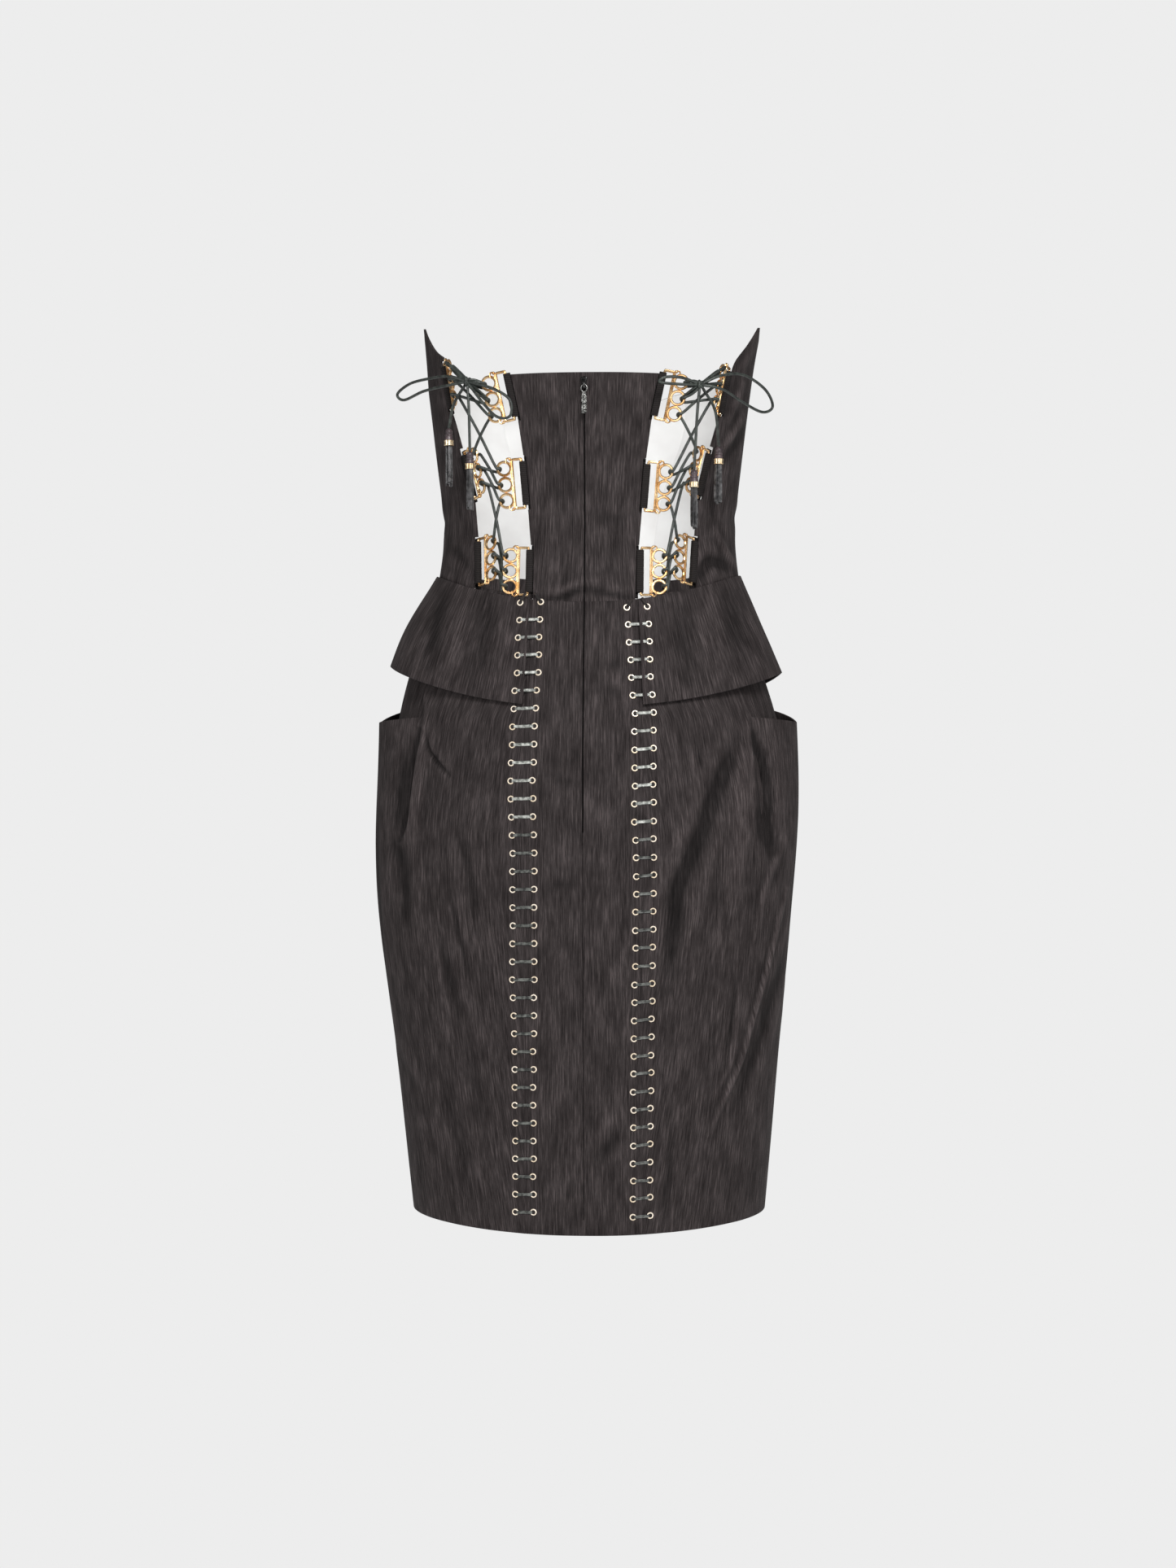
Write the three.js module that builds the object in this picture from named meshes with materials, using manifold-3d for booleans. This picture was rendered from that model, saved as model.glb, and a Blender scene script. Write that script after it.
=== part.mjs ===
// Strapless corset dress, filled out as it is worn, with nobody in it.
// Millimetres. Heights are measured up from the level of the hem, +X is the wearer's left,
// +Y the back and -Y the front. The exported group moves the origin up to the natural waist.
import * as THREE from "three";
import { mergeVertices } from "three/addons/utils/BufferGeometryUtils.js";
import Module from "manifold-3d";

const wasm = await Module();
wasm.setup();

// Driving sizes
const waistHeight = 575; // the narrowest place, where the wearer holds the dress up
const seamGap = 0.3;
const halfSeam = 0.08; // degrees round the section, for half of a seam's gap
const bodiceCloth = 2.0; // two layers and the boning
const skirtCloth = 1.6;
const squareness = 2.2; // 2 is an ellipse, and more is squarer
const waistSeam = { side: 540, backDip: 29, frontDip: 8 };
const hem = { side: 1.5, backDip: 5.5, dipSharpness: 3 };

// The outer face of the dress over the body, without pockets and cups: half sizes from the axis
const sections = [
  { height: -10, side: 150, back: 110.5, front: 99.5 },
  { height: 60, side: 157, back: 115, front: 102.5 },
  { height: 130, side: 163.8, back: 119, front: 105 },
  { height: 200, side: 171.6, back: 123, front: 107 },
  { height: 266, side: 175.2, back: 126, front: 109 },
  { height: 322, side: 174.8, back: 127, front: 109 },
  { height: 370, side: 172, back: 125, front: 107 },
  { height: 416, side: 167, back: 120, front: 104 },
  { height: 448, side: 157.5, back: 113, front: 100 },
  { height: 480, side: 147, back: 105, front: 97 },
  { height: 511, side: 137, back: 97, front: 95 },
  { height: 540, side: 128.5, back: 91, front: 93 },
  { height: 575, side: 124.6, back: 87, front: 92 },
  { height: 607, side: 127.3, back: 88.5, front: 96 },
  { height: 640, side: 131.3, back: 92, front: 101 },
  { height: 670, side: 134.7, back: 95, front: 104 },
  { height: 700, side: 138.5, back: 98, front: 106 },
  { height: 725, side: 141, back: 100, front: 107 },
  { height: 745, side: 144, back: 102, front: 108 },
  { height: 770, side: 146, back: 104, front: 110 },
];

// How far the dress stands over to the wearer's left at its sides
const sway = [
  { height: 0, across: 0 },
  { height: 98, across: 1 },
  { height: 182, across: 2.5 },
  { height: 252, across: 4 },
  { height: 294, across: 3.2 },
  { height: 350, across: 1.2 },
  { height: 406, across: 0.8 },
  { height: 448, across: 2.6 },
  { height: 500, across: 3.8 },
  { height: 530, across: 0.8 },
  { height: 560, across: 0 },
  { height: 690, across: 0 },
  { height: 725, across: -1.2 },
  { height: 760, across: -3 },
];

// Seams and free edges, by how far they are from the middle of the dress
const eyeletSeam = [
  { height: -10, across: 47.5 },
  { height: 130, across: 48 },
  { height: 270, across: 49.3 },
  { height: 360, across: 50 },
  { height: 430, across: 48 },
  { height: 480, across: 45.5 },
  { height: 520, across: 43.8 },
];
const princessSeam = [
  { height: -10, across: 74 },
  { height: 350, across: 80 },
  { height: 470, across: 66 },
  { height: 535, across: 54 },
  { height: 600, across: 58 },
  { height: 678, across: 74 },
  { height: 740, across: 82 },
];
const gapInnerEdge = [
  { height: 505, across: 44.3 },
  { height: 558, across: 44.3 },
  { height: 591, across: 47 },
  { height: 638, across: 51 },
  { height: 659, across: 54.3 },
  { height: 700, across: 63.5 },
];
const gapOuterEdge = [
  { height: 515, across: 88.5 },
  { height: 568, across: 91 },
  { height: 599, across: 94 },
  { height: 641, across: 104 },
  { height: 665, across: 111 },
  { height: 690, across: 116.6 },
  { height: 720, across: 121.5 },
];

// The top edge from the middle of the front round to the lacing, with a peak at each side
const neckline = [
  { angle: -90, left: 684, right: 684 },
  { angle: -80, left: 694, right: 694 },
  { angle: -68, left: 710, right: 710 },
  { angle: -55, left: 716, right: 716 },
  { angle: -42, left: 719, right: 719 },
  { angle: -30, left: 721, right: 721 },
  { angle: -18, left: 725, right: 725 },
  { angle: -8, left: 733, right: 732 },
  { angle: 0, left: 742, right: 741 },
  { angle: 7, left: 751, right: 750 },
  { angle: 13, left: 744, right: 741 },
  { angle: 20, left: 733, right: 728 },
  { angle: 26, left: 723.5, right: 718.5 },
  { angle: 30, left: 719.5, right: 712.5 },
  { angle: 34, left: 719, right: 711.5 },
  { angle: 38, left: 719, right: 711 },
];
const backTop = 698;

// Bust cups, pocket and peplum. Angles are in degrees round the section.
const cup = { angle: -54, height: 682, reach: 21, spread: 24.6, rise: 35.8, fall: 42.2 };
const pocket = { back: 36, front: -32, bottom: 292, closedOver: 40, lap: 6, behind: 1.2 };
const pocketSwell = { starts: -36, full: -6, fades: 12, ends: 38 };
const mouthLine = [
  { angle: -60, height: 440 },
  { angle: -32, height: 432 },
  { angle: -14, height: 423 },
  { angle: 0, height: 414.5 },
  { angle: 18, height: 415 },
  { angle: 36, height: 417 },
  { angle: 72, height: 417 },
];
const pocketStandOff = [
  { height: 170, reach: 0 },
  { height: 210, reach: 0.6 },
  { height: 266, reach: 3.2 },
  { height: 322, reach: 6.8 },
  { height: 350, reach: 8.1 },
  { height: 392, reach: 10.2 },
  { height: 416, reach: 12.5 },
  { height: 440, reach: 13.5 },
];
const peplum = { tip: { left: 464.5, right: 458 }, end: 424.5, dipSharpness: 1.7, clearance: 0.7 };
const peplumFlare = { most: 12.5, leastShare: 0.12, fades: 22, endsBack: 66, endsFront: 60 };

// Ring plates: a wire frame that a folded cloth loop holds, with three rings for the lace.
// Lift is how far each plate leans out from the cloth, in degrees.
const wire = 1.6;
const plate = { half: 20, foot: 8, ring: 6.2, toRing: 6.8, pitch: 13.2, holeCorners: 10 };
const offEdge = { inner: 2.4, outer: 0.4 };
const loop = { half: 18, radius: 2.4, bend: 100, hole: 1.4, tail: 3.7, tailHalf: 1.0 };
// How deep the panel's edge is cut back for a loop, in degrees round the section, and how far
// past its ends
const notch = { inner: 1.1, outer: 2.2, slack: 0.8, leastRow: 1.5, leastStrip: 3 };
const plates = [
  {
    name: "top",
    inner: { left: 682, right: 682, lift: 14 },
    outer: { left: 694, right: 688, lift: 22 },
  },
  {
    name: "middle",
    inner: { left: 610, right: 607, lift: 12 },
    outer: { left: 619, right: 619, lift: 18 },
  },
  {
    name: "bottom",
    inner: { left: 537, right: 536.5, lift: 12 },
    outer: { left: 546, right: 546, lift: 10 },
  },
];

// Leather lace, knotted in a bow at the top of each gap. Every row is a place that it passes.
const lace = 2.2;
const lacing = { slack: 0.8, shoulder: 0.75, past: 1, drift: 2.2, cross: 0.56 };
const knotSize = 7;
const bows = {
  left: {
    knot: [96.5, 90, 692.5],
    loops: [
      [
        [112, 84, 698],
        [132, 58, 701],
        [152, 24, 703],
        [164.5, 9, 697],
        [158, 14, 691],
        [137, 50, 692],
        [113, 82, 691],
      ],
      [
        [84, 98, 675],
        [71, 106, 661],
        [60, 108, 661],
        [60, 108, 674],
        [74, 104, 684],
      ],
    ],
    tails: [
      { name: "outer", from: [98.7, 88.3, 689.6], through: [109, 77, 676], cap: [114, 68, 658] },
      { name: "inner", from: [96.2, 90.9, 688.7], through: [95, 91.5, 668], cap: [94.4, 89, 635.5] },
    ],
  },
  right: {
    knot: [94.5, 90, 688.5],
    loops: [
      [
        [112, 84, 697],
        [131, 58, 702],
        [150, 24, 696],
        [157, 10, 684],
        [148, 20, 677.5],
        [131, 52, 680],
        [112, 84, 686],
      ],
      [
        [80, 100, 692.5],
        [66, 106, 692],
        [62, 106, 688],
        [79, 101, 687],
      ],
    ],
    tails: [
      { name: "outer", from: [96.9, 88.3, 685.7], through: [107, 78, 669], cap: [110, 70, 641] },
      { name: "inner", from: [93.9, 90.9, 684.7], through: [92, 91.5, 662], cap: [89.6, 89, 619.5] },
    ],
  },
};
const bowSteps = { loop: 28, tail: 11 };
const tassel = { cap: 3.3, capLength: 10, dome: 1.2, topGap: 0.8, neck: 2.6, ferrule: 4 };
const ferruleLength = 4.5;
// Straps hang round the neck. Each is stood in by its root, and shorter than the last by a share.
const strap = { wide: 2.6, thick: 0.8, long: 35, count: 6, root: 0.6, shorter: 0.12 };
const strapFall = { spread: 1.2, turnIn: 0.8 };

// Zip at the top of the middle of the back
const slider = { wide: 5.6, long: 10, thick: 2.6, middle: 689, offCloth: 0.9 };
const eye = { radius: 2.7, wire: 1.0, up: 0.7, sunk: 0.4 };
const pull = { bar: 1.1, frameWide: 6, frameLong: 6.5, tagWide: 4.2, tagLong: 18, thick: 1.2 };
const pullSlack = 0.9; // from the slider's face to the pull's axis, which lies in the eye

// How finely the pieces are divided
const bodiceGrid = { front: 10, side: 5, rows: 9 };
const backColumns = 3;
const cupColumns = [0, 0.13, 0.27, 0.4, 0.52, 0.63, 0.71, 0.79, 0.89, 1];
const skirtGrid = { front: 8, besideMouthBack: 4, besideMouthFront: 3, belowMouth: 12, aboveMouth: 4 };
const mouthColumns = [pocket.back, 31, 24, 16, 8, 0, -8, -16, -24, pocket.front];
const yokeRows = [0, 0.08, 0.16, 0.3, 0.45, 0.6, 0.8, 1];
const peplumGrid = { across: 16, rows: 4 };
const plateGrid = { endRing: 7, middleRing: 4, loopFold: 6, loopHole: 8 };
const roundGrid = { lace: 5, ferrule: 12, cap: 12, strap: 3, eye: 8 };

const finish = (color, roughness, metalness) =>
  new THREE.MeshStandardMaterial({ color, roughness, metalness });
const finishes = {
  cloth: finish(0x3a3635, 0.85, 0),
  loop: finish(0x2a2726, 0.85, 0),
  gold: finish(0xc98f4a, 0.25, 1),
  lace: finish(0x2b2d2b, 0.7, 0),
  leather: finish(0x2f2a28, 0.7, 0),
  zip: finish(0x2c2c2e, 0.3, 1),
};

const radians = THREE.MathUtils.degToRad;
const clamp = THREE.MathUtils.clamp;
const smooth = THREE.MathUtils.smoothstep;
const lerp = THREE.MathUtils.lerp;

// Reads a table with a smooth curve through its rows.
function read(table, key, value, at) {
  const last = table.length - 1;
  let k = 0;
  while (k < last - 1 && at > table[k + 1][key]) k++;
  const slope = (i) => {
    const low = table[Math.max(i - 1, 0)];
    const high = table[Math.min(i + 1, last)];
    return (high[value] - low[value]) / (high[key] - low[key]);
  };
  const span = table[k + 1][key] - table[k][key];
  const t = clamp((at - table[k][key]) / span, 0, 1);
  const square = t * t;
  const cube = square * t;
  return (
    table[k][value] * (2 * cube - 3 * square + 1) +
    table[k + 1][value] * (3 * square - 2 * cube) +
    slope(k) * span * (cube - 2 * square + t) +
    slope(k + 1) * span * (cube - square)
  );
}

// A point of the body form. Angle 0 is the side, 90 the middle of the back and -90 of the front.
function formPoint(angle, height, reach = 0) {
  const c = Math.cos(radians(angle));
  const s = Math.sin(radians(angle));
  const side = read(sections, "height", "side", height);
  const depth = read(sections, "height", s > 0 ? "back" : "front", height);
  const x = side * Math.sign(c) * Math.abs(c) ** (2 / squareness);
  const y = depth * Math.sign(s) * Math.abs(s) ** (2 / squareness);
  const outX = (Math.sign(x) * Math.abs(x / side) ** (squareness - 1)) / side;
  const outY = (Math.sign(y) * Math.abs(y / depth) ** (squareness - 1)) / depth;
  const length = Math.hypot(outX, outY);
  return new THREE.Vector3(x + (reach * outX) / length, y + (reach * outY) / length, height);
}

// The angle of a place that is a given distance from the middle, on the back or the front.
function angleAt(across, height, face) {
  const side = read(sections, "height", "side", height);
  return (face * 180 * Math.acos(clamp(across / side, 0, 1) ** (squareness / 2))) / Math.PI;
}
const seamAngle = (table, face, shift = 0) => (height) =>
  angleAt(read(table, "height", "across", height) + shift, height, face);

const waistSeamHeight = (angle) => {
  const s = Math.sin(radians(angle));
  return waistSeam.side - (s > 0 ? waistSeam.backDip : waistSeam.frontDip) * s * s;
};
const hemHeight = (angle) => {
  const s = Math.sin(radians(angle));
  return hem.side - (s > 0 ? hem.backDip * s ** hem.dipSharpness : 0);
};
const necklineOf = (side) => (angle) => read(neckline, "angle", side, angle);
const mouthHeight = (angle) => read(mouthLine, "angle", "height", angle);

// Each cup swells out over one side of the front and is steeper below.
function cupReach(angle, height) {
  const folded = angle < -90 ? -180 - angle : angle;
  const away = (folded - cup.angle) / cup.spread;
  const above = height - cup.height;
  const up = above / (above > 0 ? cup.rise : cup.fall);
  return cup.reach * Math.exp(-away * away - up * up);
}

// How far the pocket's outer cloth stands off the body form.
function pocketReach(angle, height) {
  const { starts, full, fades, ends } = pocketSwell;
  const across = smooth(angle, starts, full) * (1 - smooth(angle, fades, ends));
  return across * read(pocketStandOff, "height", "reach", height);
}

// Normal of a face that is given as a function of angle and height.
function outward(face, angle, height) {
  const along = face(angle + 0.5, height).sub(face(angle - 0.5, height));
  const up = face(angle, height + 1).sub(face(angle, height - 1));
  return along.cross(up).normalize();
}

// Turns an indexed shell the right way round and makes it a geometry.
function shell(points, triangles) {
  const position = new Float32Array(points.flatMap((p) => [p.x, p.y, p.z]));
  let volume = 0;
  for (const [a, b, c] of triangles)
    volume += points[a].dot(new THREE.Vector3().crossVectors(points[b], points[c]));
  const faces = volume < 0 ? triangles.map(([a, b, c]) => [a, c, b]) : triangles;
  const geometry = new THREE.BufferGeometry();
  geometry.setAttribute("position", new THREE.BufferAttribute(position, 3));
  geometry.setIndex(faces.flat());
  return geometry;
}

// A cloth wall on a grid of cells. place(i, j) gives { point, normal }, and a cell that
// present(i, j) leaves out is a notch or a mouth with a finished edge all round.
function wall(columns, rows, place, thick, present = () => true) {
  const points = [];
  for (let i = 0; i < columns; i++)
    for (let j = 0; j < rows; j++) {
      const { point, normal } = place(i, j);
      points.push(point, point.clone().addScaledVector(normal, -thick));
    }
  const at = (i, j, inside) => 2 * (i * rows + j) + inside;
  const here = (i, j) =>
    i >= 0 && j >= 0 && i < columns - 1 && j < rows - 1 && present(i, j);
  const triangles = [];
  const rim = (a, b) => {
    const [ai, bi] = [a + 1, b + 1];
    triangles.push([a, b, bi], [a, bi, ai]);
  };
  for (let i = 0; i < columns - 1; i++)
    for (let j = 0; j < rows - 1; j++) {
      if (!here(i, j)) continue;
      const corner = [at(i, j, 0), at(i + 1, j, 0), at(i + 1, j + 1, 0), at(i, j + 1, 0)];
      const [a, b, c, d] = corner;
      triangles.push([a, b, c], [a, c, d], [a + 1, c + 1, b + 1], [a + 1, d + 1, c + 1]);
      if (!here(i, j - 1)) rim(b, a);
      if (!here(i + 1, j)) rim(c, b);
      if (!here(i, j + 1)) rim(d, c);
      if (!here(i - 1, j)) rim(a, d);
    }
  return shell(points, triangles);
}

// A row's height depends on the angle and a seam's angle on the height, so the place where a
// column crosses a row is worked out from both in turn until it has settled.
const settlingTurns = 9;
function crossing(face, angleOf, heightOf) {
  let height = waistHeight;
  let angle = 0;
  for (let turn = 0; turn < settlingTurns; turn++) {
    angle = angleOf(height);
    height = heightOf(angle);
  }
  return { point: face(angle, height), normal: outward(face, angle, height) };
}

// A panel between two seams
function panel({ from, to, across, rows, rowHeight, face, thick }) {
  const place = (i, j) =>
    crossing(
      face,
      (height) => lerp(from(height), to(height, j), across[i]),
      (angle) => rowHeight(angle, j),
    );
  return wall(across.length, rows, place, thick);
}
const between = (bottom, top, up) => ({
  rows: up.length,
  rowHeight: (angle, j) => lerp(bottom(angle), top(angle), up[j]),
});
const steps = (count) => Array.from({ length: count + 1 }, (_, k) => k / count);

const dress = new THREE.Group();
function add(name, geometry, look) {
  const mesh = new THREE.Mesh(geometry, finishes[look]);
  mesh.name = name;
  dress.add(mesh);
  return mesh;
}
// A piece modelled on the wearer's left, and stood there or mirrored to the right.
const mirror = { left: 1, right: -1 };
function addSide(name, geometry, look, side) {
  add(name + "_" + side, geometry, look).scale.x = mirror[side];
}
function addPair(name, geometry, look) {
  for (const side in mirror) addSide(name, geometry.clone(), look, side);
}

// Bodice
const bodyFace = (angle, height) => formPoint(angle, height);
const bustFace = (angle, height) => formPoint(angle, height, cupReach(angle, height));
const aboveWaist = (angle) => waistSeamHeight(angle) + seamGap / 2;

// Rows of a panel that meets a gap, so that its edge is notched for each cloth loop. A strip
// that would be too narrow between the last notch and the panel's end is cut away with it.
function lacingEdge(edge, side, seam, top) {
  const corner = seam(waistHeight);
  const [low, high] = [aboveWaist(corner), top(corner)];
  const reach = plate.half + wire / 2 + notch.slack;
  const middles = plates.map((row) => row[edge][side]);
  const rows = [low, high];
  for (const middle of middles)
    for (const away of [-reach - notch.slack, -reach, 0, reach, reach + notch.slack]) {
      const height = middle + away;
      if (height > low + notch.leastRow && height < high - notch.leastRow) rows.push(height);
    }
  rows.sort((a, b) => a - b);
  const inNotch = (height) => {
    const spare = height === low || height === high ? notch.leastStrip : notch.slack / 2;
    return middles.some((middle) => Math.abs(height - middle) < reach + spare);
  };
  const inward = edge === "inner" ? notch.inner : -notch.outer;
  return {
    up: rows.map((height) => (height - low) / (high - low)),
    edge: (height, j) => seam(height) + (inNotch(rows[j]) ? inward : 0),
  };
}

function makeBodice() {
  const princess = seamAngle(princessSeam, -1);
  const frontTop = (angle) => necklineOf("left")(angle < -90 ? -180 - angle : angle);
  add(
    "bodice_front",
    panel({
      from: (h) => -180 - princess(h) + halfSeam,
      to: (h) => princess(h) - halfSeam,
      across: steps(bodiceGrid.front),
      ...between(aboveWaist, frontTop, steps(bodiceGrid.rows)),
      face: bustFace,
      thick: bodiceCloth,
    }),
    "cloth",
  );
  for (const side in mirror) {
    addSide(
      "bodice_cup",
      panel({
        from: (h) => princess(h) + halfSeam,
        to: () => -halfSeam,
        across: cupColumns,
        ...between(aboveWaist, necklineOf(side), steps(bodiceGrid.rows)),
        face: bustFace,
        thick: bodiceCloth,
      }),
      "cloth",
      side,
    );
    const outer = lacingEdge("outer", side, seamAngle(gapOuterEdge, 1), necklineOf(side));
    addSide(
      "bodice_side",
      panel({
        from: () => halfSeam,
        to: outer.edge,
        across: steps(bodiceGrid.side),
        ...between(aboveWaist, necklineOf(side), outer.up),
        face: bodyFace,
        thick: bodiceCloth,
      }),
      "cloth",
      side,
    );
    const inner = lacingEdge("inner", side, seamAngle(gapInnerEdge, 1), () => backTop);
    addSide(
      "bodice_back",
      panel({
        from: (h) => angleAt(seamGap / 2, h, 1),
        to: inner.edge,
        across: steps(backColumns),
        ...between(aboveWaist, () => backTop, inner.up),
        face: bodyFace,
        thick: bodiceCloth,
      }),
      "cloth",
      side,
    );
  }
}

// Skirt
const skirtFace = (angle, height) => formPoint(angle, height, pocketReach(angle, height));
const belowWaist = (angle) => waistSeamHeight(angle) - seamGap / 2;

// Rows of all skirt panels: the pocket mouth is one of them, so the panels meet along their seams.
const { belowMouth, aboveMouth } = skirtGrid;
const skirtRows = {
  rows: belowMouth + aboveMouth + 1,
  rowHeight: (angle, j) =>
    j <= belowMouth
      ? lerp(hemHeight(angle), mouthHeight(angle), j / belowMouth)
      : lerp(mouthHeight(angle), belowWaist(angle), (j - belowMouth) / aboveMouth),
};

function makeSkirt() {
  const eyelets = seamAngle(eyeletSeam, 1);
  const princess = seamAngle(princessSeam, -1);
  addPair(
    "skirt_back",
    panel({
      from: (h) => angleAt(seamGap / 2, h, 1),
      to: (h) => eyelets(h) + halfSeam,
      across: steps(backColumns),
      ...skirtRows,
      face: bodyFace,
      thick: skirtCloth,
    }),
    "cloth",
  );
  add(
    "skirt_front",
    panel({
      from: (h) => -180 - princess(h) + halfSeam,
      to: (h) => princess(h) - halfSeam,
      across: steps(skirtGrid.front),
      ...skirtRows,
      rowHeight: (angle, j) => skirtRows.rowHeight(angle < -90 ? -180 - angle : angle, j),
      face: bodyFace,
      thick: skirtCloth,
    }),
    "cloth",
  );
  // The side panel goes round from the eyelets to the front, and the pocket mouth is cut out of its
  // top between two of its columns. The columns in the mouth stand at fixed angles.
  const before = skirtGrid.besideMouthBack;
  const after = skirtGrid.besideMouthFront;
  const mouthEnd = before + mouthColumns.length - 1;
  const columnAngle = (i, height) => {
    if (i < before) return lerp(eyelets(height) - halfSeam, pocket.back, i / before);
    if (i <= mouthEnd) return mouthColumns[i - before];
    return lerp(pocket.front, princess(height) + halfSeam, (i - mouthEnd) / after);
  };
  const place = (i, j) =>
    crossing(
      skirtFace,
      (height) => columnAngle(i, height),
      (angle) => skirtRows.rowHeight(angle, j),
    );
  const kept = (i, j) => j < belowMouth || i < before || i >= mouthEnd;
  const columnCount = mouthEnd + 1 + after;
  addPair("skirt_side", wall(columnCount, skirtRows.rows, place, skirtCloth, kept), "cloth");
  // The hip yoke goes on down behind the mouth as the back of the pocket, and turns out to close it.
  const yokeFace = (angle, height) => {
    const turnOut = 1 - smooth(height, pocket.bottom, pocket.bottom + pocket.closedOver);
    const reach = pocketReach(angle, height) * turnOut;
    return formPoint(angle, height, reach - skirtCloth - pocket.behind);
  };
  const columns = [pocket.back + pocket.lap, ...mouthColumns, pocket.front - pocket.lap];
  const yokePlace = (i, j) => {
    const angle = columns[i];
    const height = lerp(pocket.bottom, belowWaist(angle) - pocket.behind, yokeRows[j]);
    return { point: yokeFace(angle, height), normal: outward(yokeFace, angle, height) };
  };
  addPair("pocket_yoke", wall(columns.length, yokeRows.length, yokePlace, skirtCloth), "cloth");
}

// The peplum is sewn into the waist seam, flares from it and dips from its tip at the side.
function makePeplum(side) {
  const { most, leastShare, fades, endsBack, endsFront } = peplumFlare;
  const hemOf = (angle) => {
    const dip = Math.abs(Math.sin(radians(angle))) ** peplum.dipSharpness;
    return lerp(peplum.tip[side], peplum.end, dip);
  };
  const face = (angle, height) => {
    const seam = belowWaist(angle);
    const down = clamp((seam - height) / (seam - hemOf(angle)), 0, 1);
    const round = 1 - smooth(Math.abs(angle), fades, angle > 0 ? endsBack : endsFront);
    const flare = most * lerp(leastShare, 1, round) * Math.sin((Math.PI / 2) * down);
    return formPoint(angle, height, peplum.clearance + skirtCloth + flare);
  };
  const eyelets = seamAngle(eyeletSeam, 1);
  const princess = seamAngle(princessSeam, -1);
  const geometry = panel({
    from: (h) => eyelets(h) - halfSeam,
    to: (h) => princess(h) + halfSeam,
    across: steps(peplumGrid.across),
    ...between(hemOf, belowWaist, steps(peplumGrid.rows)),
    face,
    thick: skirtCloth,
  });
  addSide("peplum", geometry, "cloth", side);
}

// Ring plates and the cloth loops that hold them
const moved = (point, ...moves) =>
  moves.reduce((p, [axis, distance]) => p.addScaledVector(axis, distance), point.clone());

// The frame of a plate: its held wire, and the ways toward the gap, up the wire and out.
// The gap lies toward the side from an inner edge, and toward the back from an outer one.
function plateFrame(edgeName, table, height, lift) {
  const edge = seamAngle(table, 1);
  const onEdge = (h) => formPoint(edge(h), h, -bodiceCloth / 2);
  const up = onEdge(height + plate.half).sub(onEdge(height - plate.half)).normalize();
  const cloth = outward(bodyFace, edge(height), height);
  const inCloth = new THREE.Vector3().crossVectors(cloth, up).normalize();
  if (inCloth.y > 0 === (edgeName === "inner")) inCloth.negate();
  const out = new THREE.Vector3().crossVectors(up, inCloth).normalize();
  if (out.dot(cloth) < 0) out.negate();
  const turn = radians(lift);
  const toward = moved(new THREE.Vector3(), [inCloth, Math.cos(turn)], [out, Math.sin(turn)]);
  const face = moved(new THREE.Vector3(), [out, Math.cos(turn)], [inCloth, -Math.sin(turn)]);
  return { at: moved(onEdge(height), [inCloth, offEdge[edgeName]]), up, inCloth, out, toward, face };
}
const framesOf = (side) =>
  plates.map(({ inner, outer }) => ({
    inner: plateFrame("inner", gapInnerEdge, inner[side], inner.lift),
    outer: plateFrame("outer", gapOuterEdge, outer[side], outer.lift),
  }));

// The corners of a circle, each once
const circle = (radius, corners) =>
  steps(corners)
    .slice(1)
    .map((t) => {
      const turn = 2 * Math.PI * t;
      return new THREE.Vector2(radius * Math.cos(turn), radius * Math.sin(turn));
    });

function plateGeometry() {
  const { half, foot, ring, pitch } = plate;
  const reach = ring + wire / 2;
  const centre = foot + plate.toRing;
  const rodSide = Math.acos((foot + wire / 2 - centre) / reach);
  const join = Math.asin(pitch / 2 / reach);
  const arc = (at, from, to, count) =>
    steps(count).map((t) => {
      const turn = lerp(from, to, t);
      return new THREE.Vector2(centre + reach * Math.cos(turn), at + reach * Math.sin(turn));
    });
  const shape = new THREE.Shape([
    new THREE.Vector2(-wire / 2, -half - wire / 2),
    new THREE.Vector2(foot + wire / 2, -half - wire / 2),
    ...arc(-pitch, -rodSide, join, plateGrid.endRing),
    ...arc(0, -join, join, plateGrid.middleRing).slice(1),
    ...arc(pitch, -join, rodSide, plateGrid.endRing).slice(1),
    new THREE.Vector2(foot + wire / 2, half + wire / 2),
    new THREE.Vector2(-wire / 2, half + wire / 2),
  ]);
  const slot = [
    [wire / 2, -half + wire / 2],
    [foot - wire / 2, -half + wire / 2],
    [foot - wire / 2, half - wire / 2],
    [wire / 2, half - wire / 2],
  ];
  shape.holes.push(new THREE.Path(slot.map(([x, y]) => new THREE.Vector2(x, y))));
  for (const at of [-pitch, 0, pitch]) {
    const hole = circle(ring - wire / 2, plate.holeCorners);
    shape.holes.push(new THREE.Path(hole.map((p) => p.add(new THREE.Vector2(centre, at)))));
  }
  const geometry = new THREE.ExtrudeGeometry(shape, { depth: wire, bevelEnabled: false });
  return geometry.translate(0, 0, -wire / 2);
}

function loopGeometry() {
  const fold = steps(plateGrid.loopFold).map((t) => {
    const turn = radians(lerp(-loop.bend, loop.bend, t));
    return new THREE.Vector2(loop.radius * Math.cos(turn), loop.radius * Math.sin(turn));
  });
  const shape = new THREE.Shape([
    new THREE.Vector2(-loop.tail, -loop.tailHalf),
    ...fold,
    new THREE.Vector2(-loop.tail, loop.tailHalf),
  ]);
  shape.holes.push(new THREE.Path(circle(loop.hole, plateGrid.loopHole)));
  const depth = 2 * loop.half;
  const geometry = new THREE.ExtrudeGeometry(shape, { depth, bevelEnabled: false });
  return geometry.translate(0, 0, -loop.half);
}

// Stands a geometry in a frame that is given by its x and y axes.
function stand(geometry, at, x, y) {
  const basis = new THREE.Matrix4().makeBasis(x, y, x.clone().cross(y));
  return geometry.clone().applyMatrix4(basis.setPosition(at));
}

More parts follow.
